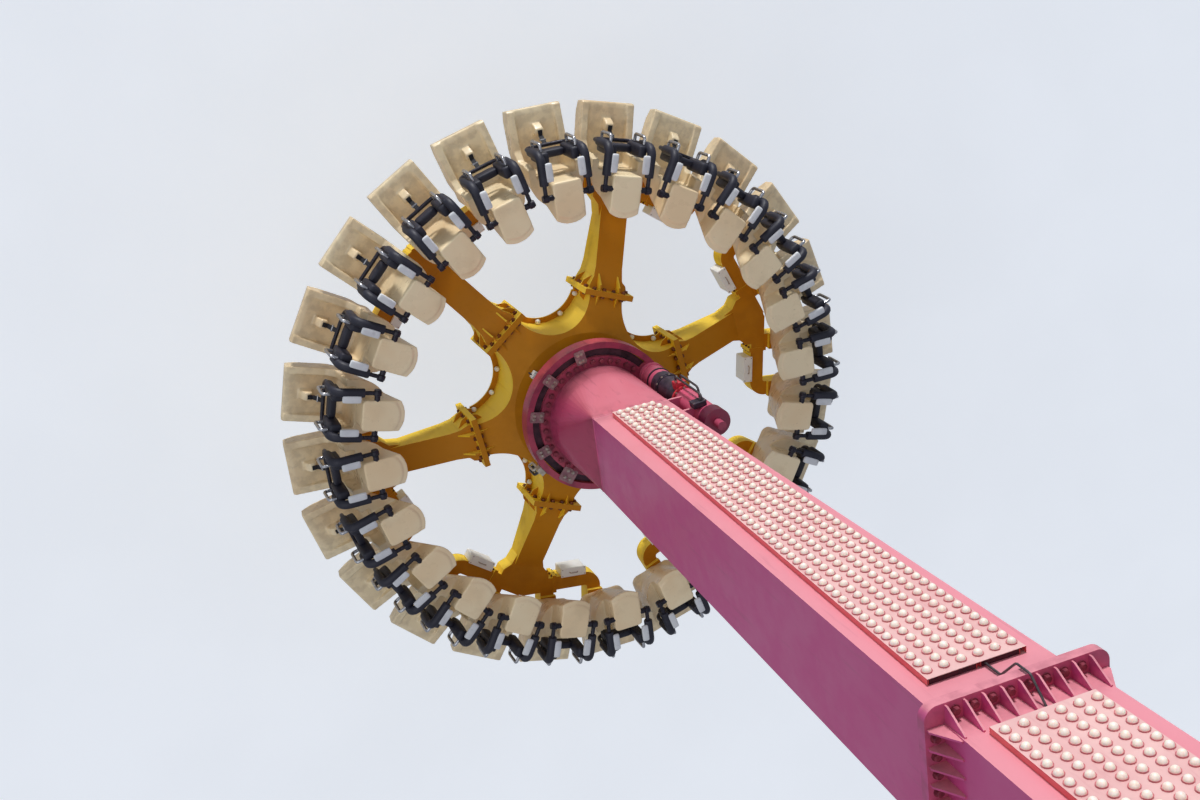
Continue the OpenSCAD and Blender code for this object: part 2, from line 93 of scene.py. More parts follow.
def unselect(mesh):
    for elements in (mesh.vertices, mesh.edges, mesh.polygons):
        elements.foreach_set("select", [False] * len(elements))


def editAll(piece):
    only(piece)
    bpy.ops.object.mode_set(mode="EDIT")
    bpy.ops.mesh.select_all(action="SELECT")


def editFaces(piece, test):
    only(piece)
    bpy.context.tool_settings.mesh_select_mode = (False, False, True)
    unselect(piece.data)
    for face in piece.data.polygons:
        face.select = bool(test(face.center, face.normal))
    bpy.ops.object.mode_set(mode="EDIT")


def editEdges(piece, test):
    only(piece)
    bpy.context.tool_settings.mesh_select_mode = (False, True, False)
    unselect(piece.data)
    for edge in piece.data.edges:
        a, b = (piece.data.vertices[i].co for i in edge.vertices)
        edge.select = bool(test(a, b))
    bpy.ops.object.mode_set(mode="EDIT")


def editDone():
    bpy.ops.object.mode_set(mode="OBJECT")


def normalsOut(piece):
    editAll(piece)
    bpy.ops.mesh.normals_make_consistent(inside=False)
    editDone()
    return piece


def applyAll(piece):
    only(piece)
    for modifier in list(piece.modifiers):
        bpy.ops.object.modifier_apply(modifier=modifier.name)
    return piece


def addModifier(piece, kind, **settings):
    modifier = piece.modifiers.new(kind.title(), kind)
    for key, value in settings.items():
        setattr(modifier, key, value)


def softEdges(piece, width, method="NONE"):
    addModifier(piece, "BEVEL", width=width, segments=2, limit_method=method)
    return applyAll(piece)


def painted(piece, finish):
    piece.data.materials.append(finish)
    return piece


def smooth(piece, angle=35):
    only(piece)
    bpy.ops.object.shade_smooth_by_angle(angle=math.radians(angle))
    return piece


def box(name, low, high):
    low, high = Vector(low), Vector(high)
    deselectAll()
    bpy.ops.mesh.primitive_cube_add(size=1, location=(low + high) / 2)
    piece = named(name)
    piece.scale = high - low
    return settle(piece)


def tube(name, radius, low, high, sides=24):  # a closed cylinder from one point to another
    low, high = Vector(low), Vector(high)
    deselectAll()
    bpy.ops.mesh.primitive_cylinder_add(vertices=sides, radius=radius, depth=(high - low).length)
    piece = named(name)
    piece.data.transform((high - low).to_track_quat("Z", "Y").to_matrix().to_4x4())
    piece.data.transform(Matrix.Translation((low + high) / 2))
    return piece


def duplicate(model, place):
    copy = model.copy()
    copy.data = model.data.copy()
    copy.data.transform(place)
    bpy.context.scene.collection.objects.link(copy)
    return copy


def join(pieces, name):
    deselectAll()
    for piece in pieces:
        piece.select_set(True)
    bpy.context.view_layer.objects.active = pieces[0]
    if len(pieces) > 1:
        bpy.ops.object.join()
    return named(name)


def scatter(model, places, name):
    joined = join([duplicate(model, place) for place in places], name)
    bpy.data.objects.remove(model)
    return joined


def turn(degrees):
    return Matrix.Rotation(math.radians(degrees), 4, "Z")


def atSpoke(k):
    return turn(spokeFirst + k * spokeStep)


def spot(x, y, z):
    return Matrix.Translation((x, y, z))


def tilt(degrees, axis):
    return Matrix.Rotation(math.radians(degrees), 4, axis)


def outward(direction):  # turns a model's +Z to a direction
    return Vector(direction).to_track_quat("Z", "Y").to_matrix().to_4x4()


# finishes

def linear(share):
    return share / 12.92 if share < 0.043 else ((share + 0.055) / 1.055) ** 2.4


def tone(colour):  # a colour as it shows, in 0 to 255, to a shader colour
    return tuple(linear(c / 255) for c in colour) + (1,)


def newFinish(name, roughness, metallic=0.0, coat=0.0):
    finish = bpy.data.materials.new(name)
    finish.use_nodes = True
    shader = finish.node_tree.nodes["Principled BSDF"]
    shader.inputs["Roughness"].default_value = roughness
    shader.inputs["Metallic"].default_value = metallic
    shader.inputs["Coat Weight"].default_value = coat
    shader.inputs["Coat Roughness"].default_value = 0.25
    return finish, finish.node_tree, shader


def grain(tree, scale, detail=4, stretch=(1, 1, 1), rough=0.55):
    where = tree.nodes.new("ShaderNodeTexCoord")
    mapping = tree.nodes.new("ShaderNodeMapping")
    mapping.inputs["Scale"].default_value = stretch
    tree.links.new(where.outputs["Object"], mapping.inputs["Vector"])
    noise = tree.nodes.new("ShaderNodeTexNoise")
    noise.inputs["Scale"].default_value = scale
    noise.inputs["Detail"].default_value = detail
    noise.inputs["Roughness"].default_value = rough
    tree.links.new(mapping.outputs["Vector"], noise.inputs["Vector"])
    return noise.outputs["Fac"]


def ramp(tree, value, low, high, start=0.0, end=1.0):
    node = tree.nodes.new("ShaderNodeMapRange")
    node.interpolation_type = "SMOOTHSTEP"
    for name, number in (("From Min", low), ("From Max", high), ("To Min", start), ("To Max", end)):
        node.inputs[name].default_value = number
    tree.links.new(value, node.inputs["Value"])
    return node.outputs["Result"]


def sums(tree, how, a, b):
    node = tree.nodes.new("ShaderNodeMath")
    node.operation = how
    for slot, value in zip(node.inputs, (a, b)):
        if isinstance(value, (int, float)):
            slot.default_value = value
        else:
            tree.links.new(value, slot)
    return node.outputs["Value"]


def blendColour(tree, share, a, b):
    node = tree.nodes.new("ShaderNodeMix")
    node.data_type = "RGBA"
    tree.links.new(share, node.inputs["Factor"])
    for slot, value in ((node.inputs[6], a), (node.inputs[7], b)):
        if isinstance(value, tuple):
            slot.default_value = tone(value)
        else:
            tree.links.new(value, slot)
    return node.outputs[2]


def axisOf(tree, name):
    where = tree.nodes.new("ShaderNodeTexCoord")
    split = tree.nodes.new("ShaderNodeSeparateXYZ")
    tree.links.new(where.outputs["Object"], split.inputs["Vector"])
    return split.outputs[name]


def facing(tree, name):  # how far a surface faces along an axis of the object
    geometry = tree.nodes.new("ShaderNodeNewGeometry")
    local = tree.nodes.new("ShaderNodeVectorTransform")
    local.vector_type, local.convert_from, local.convert_to = "NORMAL", "WORLD", "OBJECT"
    split = tree.nodes.new("ShaderNodeSeparateXYZ")
    tree.links.new(geometry.outputs["True Normal"], local.inputs["Vector"])
    tree.links.new(local.outputs["Vector"], split.inputs["Vector"])
    return split.outputs[name]


def roughen(tree, shader, height, strength, distance):
    bump = tree.nodes.new("ShaderNodeBump")
    bump.inputs["Strength"].default_value = strength
    bump.inputs["Distance"].default_value = distance
    tree.links.new(height, bump.inputs["Height"])
    if shader.inputs["Normal"].is_linked:
        tree.links.new(shader.inputs["Normal"].links[0].from_socket, bump.inputs["Normal"])
    tree.links.new(bump.outputs["Normal"], shader.inputs["Normal"])


def near(tree, value, place, reach):  # 1 at a place along an axis, falling to 0 at its reach
    away = sums(tree, "ABSOLUTE", sums(tree, "SUBTRACT", value, place), 0)
    return ramp(tree, away, 0, reach, 1, 0)


def paintFinish(name, look):
    finish, tree, shader = newFinish(name, look["roughness"], coat=look.get("coat", 0.15))
    shader.inputs["Specular IOR Level"].default_value = look.get("shine", 0.5)
    body = blendColour(tree, ramp(tree, grain(tree, look.get("patch", 0.8), 3), 0.35, 0.7),
                       look["colour"], look["faded"])
    # painted light and shade: faces turned along an axis take another colour, lighter towards the key light
    # and darker away from it
    for axis, low, high, share, colour in look.get("facing", ()):
        body = blendColour(tree, ramp(tree, facing(tree, axis), low, high, 0, share), body, colour)
    streak = ramp(tree, grain(tree, 5.0, 5, (4, 4, 0.25)), 0.56, 0.74, 0, look["streaks"])
    body = blendColour(tree, streak, body, look["dirt"])
    z = axisOf(tree, "Z")
    for place, reach in look.get("grimeAt", ()):
        patchy = ramp(tree, grain(tree, 6.0, 6), 0.38, 0.66)
        share = sums(tree, "MULTIPLY", near(tree, z, place, reach), patchy)
        body = blendColour(tree, sums(tree, "MULTIPLY", share, look["grime"]), body, look["dirt"])
    chips = ramp(tree, grain(tree, 22.0, 6, rough=0.7), 0.70, 0.73, 0, look["chips"])
    body = blendColour(tree, chips, body, look["bare"])
    tree.links.new(body, shader.inputs["Base Color"])
    worn = ramp(tree, grain(tree, 3.0, 5), 0.3, 0.7, look["roughness"] - 0.06, look["roughness"] + 0.12)
    tree.links.new(worn, shader.inputs["Roughness"])
    roughen(tree, shader, grain(tree, 1.6, 2), 0.25, 0.006)
    roughen(tree, shader, grain(tree, 160.0, 2), 0.08, 0.0006)
    return finish


# arm paint: +Y faces, towards the key light, are painted a lighter pink as painted light, and -X faces a
# darker mauve as painted shade
armPaint = paintFinish("armPaint", {
    "colour": (206, 88, 126), "faded": (212, 98, 132), "dirt": (150, 72, 92),
    "facing": [("Y", 0.35, 0.9, 0.9, (226, 146, 156)), ("X", -0.5, -0.95, 0.9, (206, 74, 140))],
    "bare": (176, 64, 78), "roughness": 0.36, "streaks": 0.20, "grime": 0.45, "chips": 0.6,
    "grimeAt": [(jointZ, 0.45), (seamZ, 0.25), (hubZ, 0.35)]})
# rim paint: faces turned to +Y, towards the key light, are painted a lighter rose as painted light
rimPaint = paintFinish("rimPaint", {
    "colour": (166, 54, 82), "faded": (184, 72, 94), "dirt": (84, 28, 50),
    "facing": [("Y", 0.3, 0.9, 0.8, (228, 98, 112))],
    "bare": (70, 48, 52), "roughness": 0.38, "streaks": 0.3, "grime": 0.5, "chips": 0.5,
    "grimeAt": [(hubZ, 0.12)]})
# gondola paint: upward faces are painted a darker orange as painted shade, and +Y faces a brighter yellow as
# painted light
gondolaPaint = paintFinish("gondolaPaint", {
    "colour": (255, 210, 40), "faded": (255, 220, 70), "dirt": (150, 84, 10),
    "facing": [("Z", 0.5, 0.92, 0.9, (190, 112, 0)), ("Y", 0.35, 0.6, 1.0, (255, 218, 72))],
    "bare": (110, 66, 24), "roughness": 0.52, "coat": 0.0, "shine": 0.25,
    "streaks": 0.14, "grime": 0.25, "chips": 0.5,
    "patch": 1.6, "grimeAt": [(hubZ - 0.40, 0.15), (pivotZ - 0.92, 0.12)]})
# transition paint: +Y faces are painted a lighter pink as painted light, and -X faces a darker rose as
# painted shade
transitionPaint = paintFinish("transitionPaint", {
    "colour": (162, 56, 78), "faded": (176, 70, 92), "dirt": (108, 38, 56),
    "facing": [("Y", 0.5, 0.95, 0.85, (212, 116, 132)), ("X", -0.5, -0.95, 0.85, (176, 60, 100))],
    "bare": (150, 54, 66), "roughness": 0.36, "streaks": 0.25, "grime": 0.45, "chips": 0.5,
    "patch": 2.4, "grimeAt": [(seamZ, 0.2), (hubZ, 0.4)]})
coverPaint = paintFinish("coverPaint", {
    "colour": (248, 249, 246), "faded": (252, 250, 244), "dirt": (180, 172, 158),
    "bare": (130, 128, 126), "roughness": 0.42, "streaks": 0.2, "grime": 0.2, "chips": 0.5})


def panelFinish(name):  # salmon side walls and a pale pink face; the face is paler where it turns to +Y, towards the key light, as painted light
    finish, tree, shader = newFinish(name, 0.42, coat=0.1)
    mottle = ramp(tree, grain(tree, 2.2, 4), 0.35, 0.7)
    face = blendColour(tree, mottle, (220, 172, 170), (228, 186, 182))
    side = blendColour(tree, mottle, (226, 86, 92), (232, 104, 106))
    # painted light: the pale tone goes where the face turns to +Y, the key light's side
    body = blendColour(tree, ramp(tree, facing(tree, "Y"), 0.5, 0.9), side, face)
    dust = ramp(tree, grain(tree, 9.0, 6, (3, 3, 0.6)), 0.55, 0.75, 0, 0.25)
    tree.links.new(blendColour(tree, dust, body, (196, 120, 128)), shader.inputs["Base Color"])
    roughen(tree, shader, grain(tree, 120.0, 3), 0.10, 0.0008)
    return finish


def steelFinish(name, look):
    rough, scale = look["roughness"], look["scale"]
    finish, tree, shader = newFinish(name, rough, metallic=look["metallic"])
    body = blendColour(tree, ramp(tree, grain(tree, scale, 6), 0.35, 0.65), look["colour"], look["other"])
    oil = ramp(tree, grain(tree, scale * 0.4, 4), 0.52, 0.66, 0, look["oil"])
    tree.links.new(blendColour(tree, oil, body, (26, 20, 20)), shader.inputs["Base Color"])
    worn = ramp(tree, grain(tree, scale * 2, 5), 0.3, 0.7, rough - 0.12, rough + 0.15)
    tree.links.new(worn, shader.inputs["Roughness"])
    roughen(tree, shader, grain(tree, scale * 8, 4), 0.15, 0.001)
    return finish


panelPaint = panelFinish("panelPaint")
raceSteel = steelFinish("raceSteel", {
    "colour": (64, 44, 54), "other": (88, 58, 68), "roughness": 0.45, "metallic": 0.5,
    "scale": 12.0, "oil": 0.7})
boltSteel = steelFinish("boltSteel", {
    "colour": (168, 150, 140), "other": (196, 182, 170), "roughness": 0.38, "metallic": 0.75,
    "scale": 40.0, "oil": 0.15})
driveIron = steelFinish("driveIron", {
    "colour": (40, 34, 48), "other": (64, 52, 66), "roughness": 0.48, "metallic": 0.2,
    "scale": 14.0, "oil": 0.5})


def dress(nodeName, finish):
    piece = nodes[nodeName]
    piece.data.materials.clear()
    piece.data.materials.append(finish)


for nodeName in nodes:
    if nodeName.startswith(("arm_", "hub_", "drive_bracket")):
        dress(nodeName, armPaint)
    if nodeName.startswith(("spoke_", "seat_beam_")) or nodeName == "hub_star":
        dress(nodeName, gondolaPaint)
dress("hub_rim", rimPaint)
dress("hub_flange", rimPaint)
dress("hub_transition", transitionPaint)
dress("lamp_panel_upper", panelPaint)
dress("lamp_panel_lower", panelPaint)
dress("outer_race", raceSteel)
dress("inner_race", raceSteel)
dress("beam_covers", coverPaint)
print("finishes made")

# camera, floor and light

cameraPlan = {"place": (-4.930, 6.189, 3.816), "right": (0.9237, -0.1290, 0.3607),
              "up": (0.2436, 0.9246, -0.2931), "back": (-0.2956, 0.3585, 0.8855),
              "lens": 48.0, "film": 36.0, "farEnd": 400.0}
bpy.ops.object.camera_add(location=cameraPlan["place"])
camera = named("camera")
camera.matrix_world = Matrix.Translation(cameraPlan["place"]) @ Matrix(
    [cameraPlan[side] for side in ("right", "up", "back")]).transposed().to_4x4()
camera.data.lens = cameraPlan["lens"]
camera.data.sensor_width = cameraPlan["film"]
camera.data.clip_end = cameraPlan["farEnd"]
bpy.context.scene.camera = camera
bpy.context.scene.view_settings.view_transform = "Standard"

studioPlan = {"floorDrop": 3.2, "floorSize": 56.0, "floorGlow": 0.58,
              "keyAim": (0.12, 0.93, -0.09), "key": 2.8, "keyAngle": 9,
              "fillAim": (-0.70, 0.15, 0.70), "fill": 0.66, "fillAngle": 70,
              "world": 0.42, "backdrop": 0.88}


def floorFinish():
    finish, tree, shader = newFinish("floorFinish", 0.9)
    mottle = ramp(tree, grain(tree, 0.4, 3), 0.3, 0.7)
    body = blendColour(tree, mottle, (226, 228, 231), (231, 233, 236))
    tree.links.new(body, shader.inputs["Base Color"])
    path = tree.nodes.new("ShaderNodeLightPath")
    shader.inputs["Emission Color"].default_value = tone((214, 219, 226))
    glow = sums(tree, "MULTIPLY", path.outputs["Is Camera Ray"], studioPlan["floorGlow"])
    tree.links.new(glow, shader.inputs["Emission Strength"])
    return finish


deselectAll()
bpy.ops.mesh.primitive_plane_add(size=studioPlan["floorSize"],
                                 location=(0, 0, cadLow.z - studioPlan["floorDrop"]))
floor = painted(settle(named("studioFloor")), floorFinish())


def sunLamp(name, side):
    deselectAll()
    aim = Vector(studioPlan[side + "Aim"]).to_track_quat("Z", "Y").to_euler()
    bpy.ops.object.light_add(type="SUN", rotation=aim)
    lamp = named(name)
    lamp.data.energy = studioPlan[side]
    lamp.data.angle = math.radians(studioPlan[side + "Angle"])


sunLamp("keyLamp", "key")
sunLamp("fillLamp", "fill")
world = bpy.data.worlds.new("studioWorld")
bpy.context.scene.world = world
world.use_nodes = True
backdrop = world.node_tree.nodes["Background"]
backdrop.inputs["Color"].default_value = tone((226, 233, 246))
skyPath = world.node_tree.nodes.new("ShaderNodeLightPath")
world.node_tree.links.new(ramp(world.node_tree, skyPath.outputs["Is Camera Ray"], 0, 1, studioPlan["world"],
                               studioPlan["backdrop"]), backdrop.inputs["Strength"])
print("camera and light placed")


# finishes of lamps, bulbs and bolts

def capFinish(name, colour, other, roughness, sheen=0.0):
    finish, tree, shader = newFinish(name, roughness, coat=0.3)
    mottle = ramp(tree, grain(tree, 24.0, 3), 0.35, 0.68)
    tree.links.new(blendColour(tree, mottle, colour, other), shader.inputs["Base Color"])
    shader.inputs["Subsurface Weight"].default_value = sheen
    roughen(tree, shader, grain(tree, 220.0, 2), 0.06, 0.0004)
    return finish


lampGlass = capFinish("lampGlass", (252, 240, 226), (248, 224, 210), 0.28, 0.15)
# painted shade: the cap's base ring is coloured a darker rose to stand for the shadow round each cap
lampRingShade = capFinish("lampRingShade", (186, 96, 104), (206, 120, 124), 0.45)
bulbGlass = capFinish("bulbGlass", (244, 242, 236), (228, 222, 212), 0.25, 0.1)
boltRose = steelFinish("boltRose", {
    "colour": (150, 62, 78), "other": (118, 44, 60), "roughness": 0.45, "metallic": 0.2,
    "scale": 30.0, "oil": 0.3})
boltRust = steelFinish("boltRust", {
    "colour": (140, 74, 26), "other": (98, 50, 22), "roughness": 0.5, "metallic": 0.2,
    "scale": 30.0, "oil": 0.3})


# lamp caps on both panels

panelPlan = {"halfJoint": 0.383, "halfTop": 0.437, "leftEnd": 0.217, "rightEnd": 0.307,
             "cut": 0.100, "cutLen": 0.400, "out": 0.050, "trim": 0.200, "shadeSheet": 0.012, "shadeSheetT": 0.004,
             "skin": 0.003, "back": 0.001, "leftWall": 0.014, "rightWall": 0.049, "tab": (0.001, 0.030)}
lampPlan = {"rowPitch": 0.105, "columns": 6, "closest": 0.083, "inset": 0.052, "endInset": 0.090,
            "capR": 0.032, "capRise": 0.034, "ringR": 0.039, "ringH": 0.010, "sink": 0.4}


def mix(a, b, share):
    return a + (b - a) * share


def lampCapModel():
    plan = lampPlan
    sink = plan["ringH"] * plan["sink"]
    deselectAll()
    bpy.ops.mesh.primitive_uv_sphere_add(segments=12, ring_count=8, radius=plan["capR"])
    dome = named("capDome")
    editAll(dome)
    bpy.ops.mesh.bisect(plane_co=(0, 0, 0), plane_no=(0, 0, 1), clear_inner=True)
    editDone()
    dome.data.transform(Matrix.Diagonal((1, 1, plan["capRise"] / plan["capR"], 1)))
    dome.data.transform(spot(0, 0, plan["ringH"] - sink))
    ring = tube("capRing", plan["ringR"], (0, 0, 0), (0, 0, plan["ringH"]), 12)
    editFaces(ring, lambda centre, normal: normal.z > 0.9)
    bpy.ops.mesh.inset(thickness=plan["ringR"] - plan["capR"])
    bpy.ops.transform.translate(value=(0, 0, -sink))
    editDone()
    # the base ring takes the darker rose of painted shade round the cap
    return smooth(join([painted(dome, lampGlass), painted(ring, lampRingShade)], "capModel"))


def panelEdges(upper, share, height):  # left and right edge at a share of the panel's length
    plan = panelPlan
    if upper:
        half = mix(plan["halfJoint"], plan["halfTop"], share)
        return -half, half
    cut = plan["cut"] * max(0.0, 1 - height / plan["cutLen"])
    left, right = (mix(plan[end], plan["halfJoint"], share) for end in ("leftEnd", "rightEnd"))
    return -left, right - cut


def lampPlaces(nodeName):
    plan = lampPlan
    low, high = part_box(nodeName)
    upper = nodeName.endswith("upper")
    faceEnd, faceTop = low.y + panelPlan["out"], high.y
    normal = Vector((0, high.z - low.z, faceEnd - faceTop))
    reach = high.z - low.z - (0 if upper else panelPlan["trim"])
    rows = int((reach - 2 * plan["endInset"]) / plan["rowPitch"]) + 1
    places = []
    for row in range(rows):
        height = mix(plan["endInset"], reach - plan["endInset"], row / (rows - 1))
        share = height / (high.z - low.z)
        left, right = panelEdges(upper, share, height)
        width = right - left - 2 * plan["inset"]
        count = min(plan["columns"], int(width / plan["closest"]) + 1)
        for i in range(count):
            x = left + plan["inset"] + width * i / (count - 1)
            places.append(spot(x, mix(faceEnd, faceTop, share), low.z + height) @ outward(normal))
    return places


def lowerPanel():  # the open upper end stands clear of the joint; dark sheets on both sides of its tab are painted shade for the pocket's inside
    plan = panelPlan
    low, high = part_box("lamp_panel_lower")
    half, top = plan["halfJoint"], high.z - plan["trim"]
    panel = bpy.data.objects.new("lowerPanel", nodes["lamp_panel_lower"].data.copy())
    bpy.context.scene.collection.objects.link(panel)
    editAll(panel)
    bpy.ops.mesh.bisect(plane_co=(0, 0, top), plane_no=(0, 0, 1), clear_outer=True, use_fill=True)
    editDone()
    face = high.y - plan["trim"] * (high.y - low.y - plan["out"]) / (high.z - low.z)
    floorY, faceY, z = face - plan["out"] + plan["back"], face - plan["skin"], top - plan["shadeSheet"]
    tabLeft, tabRight = plan["tab"]
    pieces = [panel]
    # dark sheets just under the open end: painted shade standing for the shadow inside the pocket
    for x0, x1 in ((plan["leftWall"] - half, tabLeft), (tabRight, half - plan["rightWall"])):
        shadeSheet = box("pocketShadeSheet", (x0, floorY, z - plan["shadeSheetT"]), (x1, faceY, z))
        pieces.append(painted(shadeSheet, pocketShade))
    panel = join(pieces, "lowerPanel")
    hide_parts("lamp_panel_lower")
    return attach(panel, "arm")


# painted shade: the colour of the dark sheets in the panel's pocket
pocketShade = steelFinish("pocketShade", {
    "colour": (56, 12, 28), "other": (74, 20, 36), "roughness": 0.7, "metallic": 0.0,
    "scale": 20.0, "oil": 0.3})
lowerPanel()
for nodeName, pieceName in (("lamp_panel_upper", "lampsUpper"), ("lamp_panel_lower", "lampsLower")):
    lamps = scatter(lampCapModel(), lampPlaces(nodeName), pieceName)
    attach(lamps, "arm")
print("lamp caps placed")


# bolts, sized from the head's width across its flats

boltPlan = {"corner": 0.577, "washerR": 1.25, "washerT": 0.14, "headTop": 0.64, "rim": 0.07, "crown": 0.08}


def boltModel(across, finish):
    plan = boltPlan
    headR, seat = across * plan["corner"], across * plan["washerT"]
    head = tube("boltHead", headR, (0, 0, seat), (0, 0, across * plan["headTop"]), 6)
    editFaces(head, lambda centre, normal: normal.z > 0.9)
    bpy.ops.mesh.inset(thickness=across * plan["rim"])
    bpy.ops.transform.translate(value=(0, 0, across * plan["crown"]))
    editDone()
    washer = tube("boltWasher", headR * plan["washerR"], (0, 0, 0), (0, 0, seat), 12)
    return painted(join([head, washer], "boltModel"), finish)


jointPlan = {"bolt": 0.050, "line": 0.615, "ribPitch": 0.1328, "perSide": 8, "plateT": 0.040}


def jointBolts():
    plan = jointPlan
    places = []
    for side in range(4):
        for i in range(plan["perSide"]):
            y = (i - (plan["perSide"] - 1) / 2) * plan["ribPitch"]
            for up, z in ((1, jointZ + plan["plateT"]), (-1, jointZ - plan["plateT"])):
                places.append(turn(90 * side) @ spot(plan["line"], y, z) @ outward((0, 0, up)))
    bolts = scatter(boltModel(plan["bolt"], boltRose), places, "jointBolts")
    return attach(bolts, "arm")


hubPlan = {"bolt": 0.044, "ring": 0.612, "count": 40, "driveFrom": 11, "driveTo": 41}


def hubBolts():
    plan = hubPlan
    angles = [360 / plan["count"] * i for i in range(plan["count"])]
    free = [a for a in angles if not plan["driveFrom"] < a < plan["driveTo"]]
    places = [turn(a) @ spot(plan["ring"], 0, hubZ) for a in free]
    bolts = scatter(boltModel(plan["bolt"], boltRose), places, "hubBolts")
    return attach(bolts, "arm")


starPlan = {"bolt": 0.036, "jointR": 1.200, "plateT": 0.030, "half": 0.190, "slopeFrom": 0.800,
            "slope": 21.5, "drop": 0.430, "edgeDepth": 0.450, "over": 0.042, "under": 0.036, "beside": 0.046,
            "topRow": (-0.170, -0.055, 0.055, 0.170), "lowRow": (-0.160, -0.054, 0.054, 0.160),
            "sideRow": (0.045, 0.185, 0.265, 0.400)}
starTop = hubZ - starPlan["drop"]
edgeTop = starTop - (starPlan["jointR"] - starPlan["slopeFrom"]) * math.tan(math.radians(starPlan["slope"]))


def starBoltSpots():  # places round a joint plate, across and up
    plan = starPlan
    out = plan["half"] + plan["beside"]
    spots = [(y, edgeTop + plan["over"]) for y in plan["topRow"]]
    spots += [(y, edgeTop - plan["edgeDepth"] - plan["under"]) for y in plan["lowRow"]]
    return spots + [(side * out, edgeTop - z) for side in (-1, 1) for z in plan["sideRow"]]


def starBolts():
    plan = starPlan
    places = []
    for k in range(6):
        for y, z in starBoltSpots():
            for way in (-1, 1):
                place = spot(plan["jointR"] + way * plan["plateT"], y, z) @ outward((way, 0, 0))
                places.append(atSpoke(k) @ place)
    bolts = scatter(boltModel(plan["bolt"], boltRust), places, "starBolts")
    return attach(bolts, "gondola")


beamPlan = {"bolt": 0.019, "r": 2.290, "jointY": -0.220, "plateT": 0.020, "width": 0.160, "edge": 0.013,
            "turn": 15, "firstZ": pivotZ - 0.930, "pitch": 0.070, "rows": 3}


def beamBoltSpots():  # places on one beam's joint, on both of its faces
    plan = beamPlan
    across = plan["width"] / 2 + plan["edge"]
    for x in (-across, across):
        for row in range(plan["rows"]):
            z = plan["firstZ"] - plan["pitch"] * row
            for way in (-1, 1):
                y = plan["jointY"] + way * plan["plateT"]
                yield turn(plan["turn"]) @ spot(plan["r"] + x, y, z) @ outward((0, way, 0))


def beamBolts():
    flips = [Matrix.Diagonal((1, side, 1, 1)) for side in (1, -1)]
    places = [atSpoke(k) @ flip @ place for k in range(6) for flip in flips for place in beamBoltSpots()]
    bolts = normalsOut(scatter(boltModel(beamPlan["bolt"], boltRust), places, "beamBolts"))
    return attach(bolts, "gondola")


jointBolts()
hubBolts()
starBolts()
beamBolts()
print("bolts placed")

# bulbs along the star's ledge

bulbPlan = {"bulbR": 0.030, "flat": 0.8, "baseR": 0.020, "baseH": 0.016, "wallR": 0.470, "ledge": 0.060,
            "pitch": 0.270, "arc": 112, "depth": 0.540, "ledgeT": 0.020}


def bulbModel():
    plan = bulbPlan
    deselectAll()
    bpy.ops.mesh.primitive_uv_sphere_add(segments=10, ring_count=7, radius=plan["bulbR"])
    glass = named("bulbBall")
    editFaces(glass, lambda centre, normal: normal.z < -0.5)
    bpy.ops.transform.resize(value=(plan["flat"], plan["flat"], plan["flat"]))
    editDone()
    glass.data.transform(spot(0, 0, plan["baseH"] + plan["bulbR"] * plan["flat"]))
    base = tube("bulbBase", plan["baseR"], (0, 0, 0), (0, 0, plan["baseH"]), 8)
    return smooth(join([painted(glass, bulbGlass), painted(base, boltSteel)], "bulbModel"))


def ledgeBulbs():
    plan = bulbPlan
    centreR = 2 * (starPlan["half"] + plan["wallR"])
    arcR = plan["wallR"] - plan["ledge"] / 2
    count = int(arcR * math.radians(plan["arc"]) / plan["pitch"]) + 1
    z = starTop - plan["depth"] + plan["ledgeT"]
    places = []
    for k in range(6):
        for i in range(count):
            angle = 180 + (i - (count - 1) / 2) * math.degrees(plan["pitch"] / arcR)
            place = spot(centreR, 0, z) @ turn(angle) @ spot(arcR, 0, 0)
            places.append(atSpoke(k + 0.5) @ place)
    bulbs = scatter(bulbModel(), places, "ledgeBulbs")
    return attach(bulbs, "gondola")


ledgeBulbs()
print("bulbs placed")

# clamp plates over the groove inside the rim

clampPlan = {"count": 11, "turn": 2.2, "skip": (1, 2), "wide": 7, "inner": 0.630, "outer": 0.768,
             "half": 0.058, "wideHalf": 0.085, "flare": 0.2, "rise": 0.012, "seat": 0.0005, "corner": 0.018,
             "bolt": 0.026, "boltAt": (0.662, 0.738), "boltSide": 0.35}


def clampPlates():
    plan = clampPlan
    bolt = boltModel(plan["bolt"], boltSteel)
    top = hubZ + plan["rise"]
    pieces = []
    for i in range(plan["count"]):
        if i in plan["skip"]:
            continue
        half = plan["wideHalf"] if i == plan["wide"] else plan["half"]
        plate = box("clampPlate", (plan["inner"], -half, hubZ + plan["seat"]),
                    (plan["outer"] + half * plan["flare"], half, top))
        editEdges(plate, lambda a, b: abs(a.z - b.z) > 0.001)
        bpy.ops.mesh.bevel(offset=plan["corner"], segments=3)
        editDone()
        bolts = [duplicate(bolt, spot(r, half * plan["boltSide"] * side, top))
                 for r in plan["boltAt"] for side in (-1, 1)]
        pieces.append(join([painted(plate, clampSteel)] + bolts, "clampPlate"))
        pieces[-1].data.transform(turn(plan["turn"] + 360 / plan["count"] * i))
    plates = join(pieces, "clampPlates")
    bpy.data.objects.remove(bolt)
    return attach(plates, "arm")


clampSteel = steelFinish("clampSteel", {
    "colour": (168, 128, 128), "other": (140, 96, 104), "roughness": 0.5, "metallic": 0.2,
    "scale": 18.0, "oil": 0.25})
clampPlates()


# small boxes, hoses and seams

def startTube(name, radius, place, direction, sides=12):
    deselectAll()
    bpy.ops.mesh.primitive_circle_add(vertices=sides, radius=radius, fill_type="NGON")
    piece = named(name)
    piece.data.transform(Matrix.Translation(place) @ outward(direction))
    editAll(piece)
    return piece


